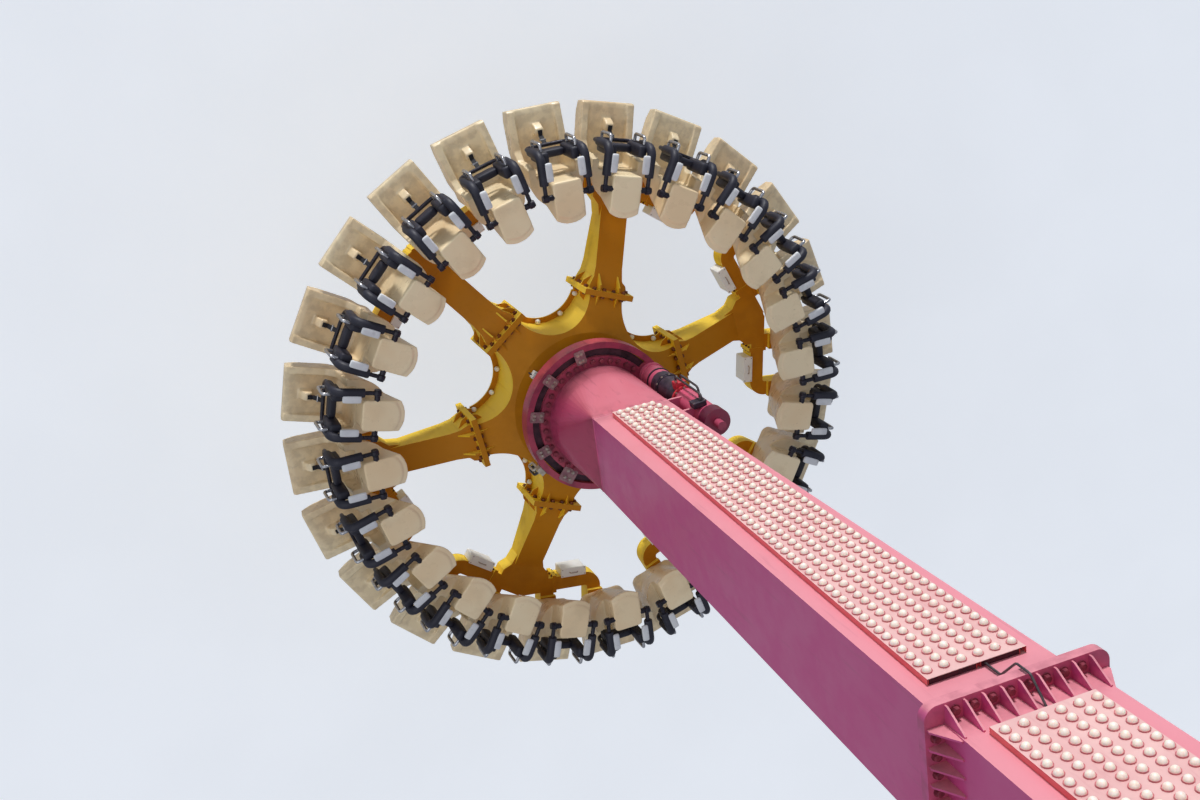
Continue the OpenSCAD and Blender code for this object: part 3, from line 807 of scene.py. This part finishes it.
def pull(step):
    bpy.ops.mesh.extrude_region_move(TRANSFORM_OT_translate={"value": step})


def swing(degrees, centre, axis, steps=5):  # the spin tool turns clockwise about its axis, hence the sign
    bpy.ops.mesh.spin(steps=steps, angle=-math.radians(degrees), center=centre, axis=axis)


def tubeDone(piece, finish):
    bpy.ops.mesh.select_all(action="SELECT")
    bpy.ops.mesh.normals_make_consistent(inside=False)
    editDone()
    return smooth(painted(piece, finish), 40)


hoseRubber = capFinish("hoseRubber", (44, 40, 46), (70, 64, 66), 0.55)
boxGrey = capFinish("boxGrey", (196, 190, 176), (168, 158, 142), 0.45)
fittingRed = paintFinish("fittingRed", {
    "colour": (196, 44, 58), "faded": (212, 64, 72), "dirt": (90, 24, 36),
    "bare": (60, 40, 44), "roughness": 0.38, "streaks": 0.2, "grime": 0.4, "chips": 0.5})


def cornerScrews(xs, ys, low, top, radius):
    screws = [tube("lidScrew", radius, (x, y, low), (x, y, top), 8) for x in xs for y in ys]
    return [painted(screw, boltSteel) for screw in screws]


lidPlan = {"edge": 0.006, "lidEdge": 0.6, "overhang": 0.003, "lidT": 0.012, "screwIn": 0.012,
           "screwR": 0.005, "screwLow": 0.010, "screwTop": 0.016}


def lidded(name, low, high, finish):  # a small housing with a lid and four screws
    plan = lidPlan
    over, inset = plan["overhang"], plan["screwIn"]
    (x0, y0, z0), (x1, y1, top) = low, high
    body = softEdges(box(name, low, high), plan["edge"])
    lid = box(name + "Lid", (x0 - over, y0 - over, top), (x1 + over, y1 + over, top + plan["lidT"]))
    softEdges(lid, plan["edge"] * plan["lidEdge"])
    screws = cornerScrews((x0 + inset, x1 - inset), (y0 + inset, y1 - inset),
                          top + plan["screwLow"], top + plan["screwTop"], plan["screwR"])
    return join([painted(body, finish), painted(lid, finish)] + screws, name)


starBoxPlan = {"turn": 137.3, "r": 0.705, "half": 0.040, "height": 0.062, "cableR": 0.009,
               "cableY": 0.012, "cableZ": 0.030, "inside": 0.004, "lead": 0.012, "bend": 0.018}


def starBox():
    plan = starBoxPlan
    r, half, y = plan["r"], plan["half"], plan["cableY"]
    housing = lidded("starBox", (r - half, -half, starTop), (r + half, half, starTop + plan["height"]),
                     coverPaint)
    start, z = r + half - plan["inside"], starTop + plan["cableZ"]
    cable = startTube("starCable", plan["cableR"], (start, y, z), (1, 0, 0), 8)
    pull((plan["lead"], 0, 0))
    swing(90, (start + plan["lead"], y, z - plan["bend"]), (0, 1, 0), 4)
    housing = join([housing, tubeDone(cable, hoseRubber)], "starBox")
    housing.data.transform(turn(plan["turn"]))
    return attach(housing, "gondola")


hosePlan = {"turn": 213, "wall": 0.811, "top": hubZ - 0.050, "bottom": hubZ - 0.330, "radius": 0.014,
            "bracketIn": 0.004, "bracketOut": 0.008, "bracketHalf": 0.060, "bracketLow": 0.100,
            "bracketHigh": 0.020, "blockIn": 0.006, "blockOut": 0.060, "blockHalf": 0.048, "blockLow": 0.085,
            "edge": 0.006, "startX": 0.034, "startZ": 0.070, "rise": 0.110,
            "loops": ((-0.030, 0.052), (0.002, 0.075), (0.032, 0.045))}


def rimHoses():  # a small manifold on the rim's outer wall, with three looped hoses
    plan = hosePlan
    wall, top, bottom, rise = plan["wall"], plan["top"], plan["bottom"], plan["rise"]
    half, blockHalf = plan["bracketHalf"], plan["blockHalf"]
    start, startZ = wall + plan["startX"], top - plan["startZ"]
    bracket = box("hoseBracket", (wall - plan["bracketIn"], -half, top - plan["bracketLow"]),
                  (wall + plan["bracketOut"], half, top + plan["bracketHigh"]))
    manifold = box("hoseManifold", (wall + plan["blockIn"], -blockHalf, top - plan["blockLow"]),
                   (wall + plan["blockOut"], blockHalf, top))
    pieces = [painted(bracket, clampSteel), painted(softEdges(manifold, plan["edge"]), boxGrey)]
    for (y, reach), finish in zip(plan["loops"], (boxGrey, hoseRubber, boxGrey)):
        middle, low = start + reach / 2, bottom + reach
        hose = startTube("rimHose", plan["radius"], (start, y, startZ), (0, 0, -1), 10)
        pull((0, 0, low - startZ))
        swing(-180, (middle, y, low), (0, 1, 0), 8)
        pull((0, 0, rise))
        swing(-90, (middle, y, low + rise), (0, 1, 0), 4)
        pieces.append(tubeDone(hose, finish))
    hoses = join(pieces, "rimHoses")
    hoses.data.transform(turn(plan["turn"]))
    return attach(hoses, "arm")


drivePlan = {"r": 0.700, "turn": 26, "gearR": 0.130, "motorR": 0.120, "gearLen": 0.850, "motorLen": 0.640,
             "cap": 0.150, "side": 95, "footTop": 0.300, "bandEdge": 0.003,
             "bands": ((0.200, 0.010, 0.022), (0.420, 0.016, 0.030), (0.452, 0.010, 0.016)),
             "earZ": 0.450, "earOut": 0.005, "earTurn": 8, "ears": 10, "earBolt": 0.020,
             "plateOut": 0.022, "plateLow": 0.002, "plateTop": 0.030, "ring": 8, "ringOut": 0.008,
             "ringBolt": 0.018}
valvePlan = {"inside": 0.030, "outside": 0.062, "half": 0.058, "low": 0.110, "high": 0.004, "edge": 0.006,
             "portR": 0.017, "portY": 0.028, "portZ": 0.060, "portFrom": 0.058, "portTo": 0.078,
             "hoseR": 0.012, "hoseFrom": 0.074, "lead": 0.006, "bend": 0.040, "shares": (0.55, 0.85),
             "end": 0.075}
terminalPlan = {"half": 0.055, "long": 0.070, "height": 0.048, "sink": 0.006, "y": 0.060, "z": 0.530}


def boltRing(name, count, first, r, z, across):
    places = [turn(360 / count * i + first) @ spot(r, 0, z) for i in range(count)]
    return scatter(boltModel(across, boltSteel), places, name)


def gearBands():  # bands, adapter plate and bolts round the gearbox, on the drive's own axis
    plan = drivePlan
    gear, motor, seat = plan["gearR"], plan["motorR"], plan["gearLen"]
    pieces = []
    for z, out, height in plan["bands"]:
        band = tube("gearBand", gear + out, (0, 0, z), (0, 0, z + height), 40)
        pieces.append(smooth(painted(softEdges(band, plan["bandEdge"], "ANGLE"), driveIron)))
    pieces.append(boltRing("gearBolts", plan["ears"], plan["earTurn"], gear + plan["earOut"], plan["earZ"],
                           plan["earBolt"]))
    top = seat + plan["plateTop"]
    plate = tube("adapterPlate", motor + plan["plateOut"], (0, 0, seat + plan["plateLow"]), (0, 0, top), 40)
    pieces.append(smooth(painted(plate, fittingRed)))
    pieces.append(boltRing("adapterBolts", plan["ring"], 0, motor + plan["ringOut"], top, plan["ringBolt"]))
    return pieces


def motorTerminal():
    plan = terminalPlan
    half, long = plan["half"], plan["long"]
    terminal = lidded("motorTerminal", (-half, -long, 0), (half, long, plan["height"]), driveIron)
    out, z = drivePlan["motorR"] - plan["sink"], drivePlan["gearLen"] + plan["z"]
    terminal.data.transform(spot(out, plan["y"], z) @ tilt(90, "Y"))
    return terminal


def valveFittings():  # the valve block, its two ports and hoses, and the motor's terminal box
    plan = valvePlan
    motor, seat, half = drivePlan["motorR"], drivePlan["gearLen"], plan["half"]
    start, portZ = motor + plan["hoseFrom"], seat - plan["portZ"]
    valve = box("valveBlock", (motor - plan["inside"], -half, seat - plan["low"]),
                (motor + plan["outside"], half, seat - plan["high"]))
    pieces = [painted(softEdges(valve, plan["edge"]), fittingRed), motorTerminal()]
    for y, share in zip((-plan["portY"], plan["portY"]), plan["shares"]):
        run = drivePlan["motorLen"] * share
        port = tube("valvePort", plan["portR"], (motor + plan["portFrom"], y, portZ),
                    (motor + plan["portTo"], y, portZ), 6)
        hose = startTube("driveHose", plan["hoseR"], (start, y, portZ), (1, 0, 0), 10)
        pull((plan["lead"], 0, 0))
        x, z = start + plan["lead"], portZ + plan["bend"]
        swing(-90, (x, y, z), (0, 1, 0), 5)
        pull((0, 0, run))
        swing(-90, (x, y, z + run), (0, 1, 0), 5)
        pull((-plan["end"], 0, 0))
        pieces += [painted(port, boltSteel), tubeDone(hose, hoseRubber)]
    fittings = join(pieces, "driveFittings")
    fittings.data.transform(turn(drivePlan["side"]))
    return fittings


def driveDetails():
    details = join(gearBands() + [valveFittings()], "driveDetails")
    details.data.transform(Matrix.Translation(turn(drivePlan["turn"]) @ Vector((drivePlan["r"], 0, hubZ))))
    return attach(details, "arm")


def motorFinish(name):  # the arm's paint with a darker end cap
    plan = drivePlan
    finish, tree, shader = newFinish(name, 0.36, coat=0.15)
    mottle = ramp(tree, grain(tree, 3.0, 4), 0.35, 0.7)
    body = blendColour(tree, mottle, (206, 84, 116), (222, 104, 128))
    z = axisOf(tree, "Z")
    low = hubZ + plan["gearLen"] + plan["motorLen"]
    high = low + plan["cap"]
    rise, fall = ramp(tree, z, low - 0.001, low), ramp(tree, z, high - 0.001, high + 0.001, 1, 0.4)
    cap = sums(tree, "MULTIPLY", rise, fall)
    body = blendColour(tree, cap, body, (92, 26, 52))
    dust = ramp(tree, grain(tree, 14.0, 6), 0.52, 0.72, 0, 0.4)
    tree.links.new(blendColour(tree, dust, body, (120, 52, 70)), shader.inputs["Base Color"])
    roughen(tree, shader, grain(tree, 140.0, 3), 0.12, 0.0008)
    return finish


def gearboxFinish(name):  # the arm's paint on the foot, bare oily iron above
    finish, tree, shader = newFinish(name, 0.44, coat=0.1)
    mottle, cast = ramp(tree, grain(tree, 3.0, 4), 0.35, 0.7), ramp(tree, grain(tree, 14.0, 6), 0.35, 0.65)
    foot = blendColour(tree, mottle, (206, 88, 122), (220, 104, 130))
    iron = blendColour(tree, cast, (40, 34, 48), (66, 54, 68))
    ragged = sums(tree, "MULTIPLY", grain(tree, 26.0, 4), 0.03)
    height = sums(tree, "ADD", axisOf(tree, "Z"), ragged)
    edge = hubZ + drivePlan["footTop"]
    body = blendColour(tree, ramp(tree, height, edge, edge + 0.012), foot, iron)
    oil = ramp(tree, grain(tree, 6.0, 5, (2, 2, 0.5)), 0.54, 0.68, 0, 0.6)
    tree.links.new(blendColour(tree, oil, body, (34, 24, 30)), shader.inputs["Base Color"])
    roughen(tree, shader, grain(tree, 110.0, 4), 0.15, 0.001)
    return finish


seamPlan = {"half": 0.395, "radius": 0.006}


def armSeam():  # the weld round the arm where the box meets the transition
    half, z = seamPlan["half"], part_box("arm_lower_tube")[0].z
    beads = []
    for side in range(4):
        beads.append(tube("seamBead", seamPlan["radius"], (half, -half, z), (half, half, z), 8))
        beads[-1].data.transform(turn(90 * side))
    seam = smooth(painted(join(beads, "armSeam"), armPaint))
    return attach(seam, "arm")


cablePlan = {"x": 0.066, "radius": 0.009, "bend": 0.050, "edge": 0.706, "over": 0.018, "inside": 0.011,
             "half": 0.055, "tail": 0.240, "slant": 45}


def jointCable():  # from the lower panel's pocket over the joint's edge to the upper panel
    plan = cablePlan
    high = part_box("lamp_panel_lower")[1]
    x, bend, half, slant = plan["x"], plan["bend"], plan["half"], plan["slant"]
    y = high.y - panelPlan["out"] + plan["over"]
    start = high.z - panelPlan["trim"] - plan["inside"]
    run = plan["edge"] - y - 2 * bend * (1 - math.cos(math.radians(slant)))
    rise = 2 * bend * math.sin(math.radians(slant)) + run
    low, top, inner = jointZ - half - rise, jointZ + half + rise, plan["edge"] - bend
    cable = startTube("jointCable", plan["radius"], (x, y, start), (0, 0, 1), 10)
    pull((0, 0, low - start))
    swing(slant, (x, y + bend, low), (-1, 0, 0), 4)
    pull((0, run, run))
    swing(slant, (x, inner, jointZ - half), (1, 0, 0), 4)
    pull((0, 0, 2 * half))
    swing(slant, (x, inner, jointZ + half), (1, 0, 0), 4)
    pull((0, -run, run))
    swing(slant, (x, y + bend, top), (-1, 0, 0), 4)
    pull((0, 0, plan["tail"] - rise))
    tubeDone(cable, hoseRubber)
    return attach(cable, "arm")


coverPlan = {"r": 2.160, "half": 0.145, "wide": 0.050, "top": pivotZ - 0.870, "turn": 15, "over": 0.004,
             "lidT": 0.014, "edge": 0.004, "gripR": 0.006, "gripHalf": 0.045, "gripFoot": 0.010,
             "gripRise": 0.014, "gripBend": 0.012, "screwX": 0.012, "screwY": 0.014, "screwR": 0.006,
             "screwLow": 0.012, "screwTop": 0.018}


def lidGrip():
    plan = coverPlan
    rise, straight = plan["gripRise"], plan["gripHalf"] - plan["gripBend"]
    foot = plan["top"] + plan["gripFoot"]
    grip = startTube("lidGrip", plan["gripR"], (0, -plan["gripHalf"], foot), (0, 0, 1), 8)
    pull((0, 0, rise))
    swing(-90, (0, -straight, foot + rise), (1, 0, 0), 4)
    pull((0, 2 * straight, 0))
    swing(-90, (0, straight, foot + rise), (1, 0, 0), 4)
    pull((0, 0, -rise))
    return tubeDone(grip, boltSteel)


def coverLids():
    plan = coverPlan
    half, wide, top, over = plan["half"], plan["wide"], plan["top"], plan["over"]
    lid = box("coverLid", (-wide - over, -half - over, top), (wide + over, half + over, top + plan["lidT"]))
    lid = painted(softEdges(lid, plan["edge"]), coverPaint)
    x, y = wide - plan["screwX"], half - plan["screwY"]
    screws = cornerScrews((-x, x), (-y, y), top + plan["screwLow"], top + plan["screwTop"], plan["screwR"])
    places = [atSpoke(k) @ turn(side * plan["turn"]) @ spot(plan["r"], 0, 0)
              for k in range(6) for side in (-1, 1)]
    lids = scatter(join([lid, lidGrip()] + screws, "coverLid"), places, "coverLids")
    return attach(lids, "gondola")


starBox()
rimHoses()
dress("drive_motor", motorFinish("motorPaint"))
dress("drive_gearbox", gearboxFinish("gearboxPaint"))
driveDetails()
armSeam()
jointCable()
coverLids()
print("fittings placed")

# finishes of the seats


def shellFinish(name):  # cream moulded shell, gloss worn where riders climb in
    finish, tree, shader = newFinish(name, 0.34, coat=0.35)
    tint = ramp(tree, grain(tree, 1.4, 3), 0.35, 0.7)
    body = blendColour(tree, tint, (250, 230, 190), (244, 216, 172))
    dust = ramp(tree, grain(tree, 4.0, 6, (1, 1, 0.4)), 0.50, 0.75, 0, 0.3)
    body = blendColour(tree, dust, body, (206, 180, 140))
    low = ramp(tree, axisOf(tree, "Z"), pivotZ - 0.75, pivotZ - 0.45, 0.25, 0)
    body = blendColour(tree, sums(tree, "MULTIPLY", low, ramp(tree, grain(tree, 9.0, 5), 0.4, 0.62)),
                       body, (150, 124, 94))
    scuffs = ramp(tree, grain(tree, 30.0, 6, (1, 1, 2.5), 0.7), 0.66, 0.70, 0, 0.5)
    tree.links.new(blendColour(tree, scuffs, body, (120, 104, 88)), shader.inputs["Base Color"])
    worn = ramp(tree, grain(tree, 6.0, 5), 0.35, 0.7, 0.26, 0.48)
    tree.links.new(worn, shader.inputs["Roughness"])
    roughen(tree, shader, grain(tree, 3.0, 3), 0.20, 0.004)
    roughen(tree, shader, grain(tree, 240.0, 2), 0.06, 0.0004)
    return finish


def foamFinish(name, look):  # skinned foam with a fine leather grain
    finish, tree, shader = newFinish(name, look["roughness"])
    tint = ramp(tree, grain(tree, 5.0, 4), 0.35, 0.7)
    body = blendColour(tree, tint, look["colour"], look["other"])
    rubbed = ramp(tree, grain(tree, 14.0, 6), 0.55, 0.72, 0, 0.4)
    tree.links.new(blendColour(tree, rubbed, body, look["rubbed"]), shader.inputs["Base Color"])
    roughen(tree, shader, grain(tree, 90.0, 4), 0.35, 0.0012)
    roughen(tree, shader, grain(tree, 9.0, 3), 0.25, 0.004)
    return finish


shellCream = shellFinish("shellCream")
padNavy = foamFinish("padNavy", {
    "colour": (30, 30, 44), "other": (38, 38, 52), "rubbed": (58, 58, 70), "roughness": 0.55})
frameBlack = steelFinish("frameBlack", {
    "colour": (30, 28, 40), "other": (46, 42, 54), "roughness": 0.35, "metallic": 0.3,
    "scale": 16.0, "oil": 0.3})
gripSteel = steelFinish("gripSteel", {
    "colour": (206, 206, 208), "other": (178, 178, 184), "roughness": 0.25, "metallic": 0.9,
    "scale": 30.0, "oil": 0.1})
padPale = foamFinish("padPale", {
    "colour": (226, 228, 230), "other": (212, 214, 218), "rubbed": (184, 184, 186),
    "roughness": 0.5})
strapWeb = foamFinish("strapWeb", {
    "colour": (24, 24, 30), "other": (34, 34, 40), "rubbed": (70, 68, 70), "roughness": 0.7})


def softBlock(name, low, high, edge, finish):  # an upholstered block with a filled-out face
    piece = box(name, low, high)
    addModifier(piece, "BEVEL", width=edge, segments=2, limit_method="NONE")
    addModifier(piece, "SUBSURF", levels=1, render_levels=1)
    return smooth(painted(applyAll(piece), finish), 60)


# seat shells, four to a row, softened from the solids

shellPlan = {"weld": 0.0001, "middle": 0.05, "cutFrom": 0.1605, "cutTo": 0.34, "cutHalf": 0.08,
             "voxel": 0.010, "rounds": 4, "keep": 0.22}
bowPlan = {"half": 0.233, "eyeHalf": 0.024, "eyeR": 0.042, "eyeEdge": 0.006, "reach": 0.430, "drop": 0.490,
           "bend": 0.090, "start": 0.030, "tube": 0.022, "sleeve": 0.048, "sleeveStart": 0.130,
           "sleeveLow": 0.300, "sleeveEdge": 0.010}
pinPlan = {"bossR": 0.030, "bossFrom": 0.150, "gap": 0.004, "pinR": 0.012, "knobR": 0.0352,
           "knobFrom": 0.002, "knobTo": 0.013}


def onPivot(x, y, z):
    return Vector((x, y, pivotZ + z))


def shellModel():
    plan = shellPlan
    row = bpy.data.objects.new("shellRow", nodes["seat_row_1"].data.copy())
    bpy.context.scene.collection.objects.link(row)
    row.data.materials.clear()
    editAll(row)
    bpy.ops.mesh.remove_doubles(threshold=plan["weld"])
    bpy.ops.mesh.separate(type="LOOSE")
    editDone()
    parts = list(bpy.context.selected_objects)
    across = {part: sum((Vector(c) for c in part.bound_box), Vector()).y / 8 for part in parts}
    middle = [part for part in parts if abs(across[part]) < plan["middle"]]
    shell = max(middle, key=lambda part: len(part.data.vertices))
    for part in parts:
        if part is not shell:
            bpy.data.objects.remove(part)
    reach = plan["cutHalf"]
    for side in (-1, 1):  # the pins are made apart, in steel
        y0, y1 = sorted((side * plan["cutFrom"], side * plan["cutTo"]))
        cutter = box("pinCutter", onPivot(pivotR - reach, y0, -reach), onPivot(pivotR + reach, y1, reach))
        addModifier(shell, "BOOLEAN", operation="DIFFERENCE", object=cutter, solver="EXACT")
        applyAll(shell)
        bpy.data.objects.remove(cutter)
    addModifier(shell, "REMESH", mode="VOXEL", voxel_size=plan["voxel"])
    addModifier(shell, "SMOOTH", factor=0.5, iterations=plan["rounds"])
    addModifier(shell, "DECIMATE", ratio=plan["keep"])
    applyAll(shell)
    shell.name = "shellModel"
    return smooth(painted(shell, shellCream), 50)


def pivotTube(name, radius, y0, y1, finish, sides=20):  # a round piece on the pivot's own axis
    return painted(tube(name, radius, onPivot(pivotR, y0, 0), onPivot(pivotR, y1, 0), sides), finish)


def pinSet():  # boss, pin and knob on both sides of the headrest
    plan = pinPlan
    inner, outer = bowPlan["half"] - bowPlan["eyeHalf"], bowPlan["half"] + bowPlan["eyeHalf"]
    rounds = (("pinBoss", plan["bossR"], plan["bossFrom"], inner - plan["gap"], frameBlack, 20),
              ("pin", plan["pinR"], inner, outer + plan["gap"], gripSteel, 12),
              ("pinKnob", plan["knobR"], outer + plan["knobFrom"], outer + plan["knobTo"], frameBlack, 20))
    pieces = [pivotTube(name, radius, side * y0, side * y1, finish, sides)
              for side in (-1, 1) for name, radius, y0, y1, finish, sides in rounds]
    return smooth(join(pieces, "pinSet"))


def seatShells():
    shell, pins = shellModel(), pinSet()
    for k in range(6):
        angles = [spokeFirst + k * spokeStep + (j - 1.5) * seatStep for j in range(4)]
        copies = [duplicate(model, turn(a)) for a in angles for model in (shell, pins)]
        row = join(copies, f"seatShells{k + 1}")
        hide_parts(f"seat_row_{k + 1}")
        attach(row, "gondola")
    bpy.data.objects.remove(shell)
    bpy.data.objects.remove(pins)


seatShells()
print("seat shells made")

# restraints: steel bow, foam sleeves, chest pads, grips and strap

gripPlan = {"radius": 0.017, "x": 0.452, "y": 0.185, "z": 0.115, "lead": 0.045, "bend": 0.030, "drop": 0.190}
strapPlan = {"low": (2.826, -0.024, -0.640), "high": (2.832, 0.024, -0.500), "kick": (0.075, 0, 0.020),
             "tail": (0.055, 0, 0.006), "buckleLow": (2.858, -0.034, -0.604),
             "buckleHigh": (2.878, 0.034, -0.556), "buckleEdge": 0.006}
padPlan = {"chestPad": ((2.712, 0.112, -0.425), (2.846, 0.216, -0.060), 0.030),
           "bellyPad": ((2.735, -0.120, -0.405), (2.822, 0.120, -0.262), 0.026),
           "shoulderPlate": ((2.565, 0.134, 0.010), (2.760, 0.214, 0.054), 0.018)}


def bowTube(name, radius, startX, lowZ, finish, full):  # the bow's tube, or a sleeve on one side of it
    plan = bowPlan
    half, bend = plan["half"], plan["bend"]
    frontX = pivotR + plan["reach"]
    piece = startTube(name, radius, onPivot(startX, half, 0), (1, 0, 0))
    pull((frontX - bend - startX, 0, 0))
    swing(90, onPivot(frontX - bend, half, -bend), (0, 1, 0))
    pull((0, 0, -(lowZ - bend)))
    if full:
        swing(90, onPivot(frontX, half - bend, -lowZ), (-1, 0, 0))
        pull((0, -2 * (half - bend), 0))
        swing(90, onPivot(frontX, bend - half, -lowZ), (-1, 0, 0))
        pull((0, 0, lowZ - bend))
        swing(90, onPivot(frontX - bend, -half, -bend), (0, -1, 0))
        pull((startX - frontX + bend, 0, 0))
    return tubeDone(piece, finish)


def mirrored(piece):
    return normalsOut(duplicate(piece, Matrix.Diagonal((1, -1, 1, 1))))


def gripRod(side):
    plan = gripPlan
    x, y, lead, bend = pivotR + plan["x"], side * plan["y"], plan["lead"], plan["bend"]
    top = -plan["z"] - bend
    grip = startTube("gripRod", plan["radius"], onPivot(x, y, -plan["z"]), (1, 0, 0), 12)
    pull((lead, 0, 0))
    swing(90, onPivot(x + lead, y, top), (0, 1, 0), 4)
    pull((0, 0, -plan["drop"]))
    swing(90, onPivot(x + lead, y, top - plan["drop"]), (0, 1, 0), 4)
    pull((-lead, 0, 0))
    return tubeDone(grip, gripSteel)


def crotchStrap():
    plan = strapPlan
    strap = box("crotchStrap", onPivot(*plan["low"]), onPivot(*plan["high"]))
    editFaces(strap, lambda centre, normal: normal.z < -0.9)
    bpy.ops.transform.translate(value=plan["kick"])
    pull(plan["tail"])
    editDone()
    buckle = box("strapBuckle", onPivot(*plan["buckleLow"]), onPivot(*plan["buckleHigh"]))
    return [painted(strap, strapWeb), painted(softEdges(buckle, plan["buckleEdge"]), gripSteel)]


def restraintSteel():
    plan = bowPlan
    half, eyeHalf = plan["half"], plan["eyeHalf"]
    low = plan["drop"] - plan["bend"]
    pieces = [bowTube("bow", plan["tube"], pivotR + plan["start"], low, frameBlack, True)]
    for side in (-1, 1):
        y0, y1 = side * (half - eyeHalf), side * (half + eyeHalf)
        eye = pivotTube("bowEye", plan["eyeR"], y0, y1, frameBlack)
        pieces += [smooth(softEdges(eye, plan["eyeEdge"], "ANGLE")), gripRod(side)]
    return join(pieces + crotchStrap(), "restraintSteel")


def restraintPad(name, finish):
    low, high, edge = padPlan[name]
    return softBlock(name, onPivot(*low), onPivot(*high), edge, finish)


def restraintPads():
    plan = bowPlan
    sleeve = bowTube("bowSleeve", plan["sleeve"], pivotR + plan["sleeveStart"], plan["sleeveLow"], padNavy,
                     False)
    softEdges(sleeve, plan["sleeveEdge"], "ANGLE")
    chest, plate = restraintPad("chestPad", padNavy), restraintPad("shoulderPlate", padPale)
    belly = restraintPad("bellyPad", padNavy)
    pieces = [sleeve, mirrored(sleeve), chest, mirrored(chest), belly, plate, mirrored(plate)]
    return smooth(join(pieces, "restraintPads"), 50)


def restraints():
    steel, pads = restraintSteel(), restraintPads()
    for i in range(24):
        body = f"restraint_{i + 1:02d}"
        bow = duplicate(steel, turn(seatStep * i))
        bow.name = f"restraintBow{i + 1:02d}"
        pad = duplicate(pads, turn(seatStep * i))
        pad.name = f"restraintPad{i + 1:02d}"
        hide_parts(body)
        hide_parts(body)
        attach(bow, body)
        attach(pad, body)
    bpy.data.objects.remove(steel)
    bpy.data.objects.remove(pads)


restraints()
print("restraints made")
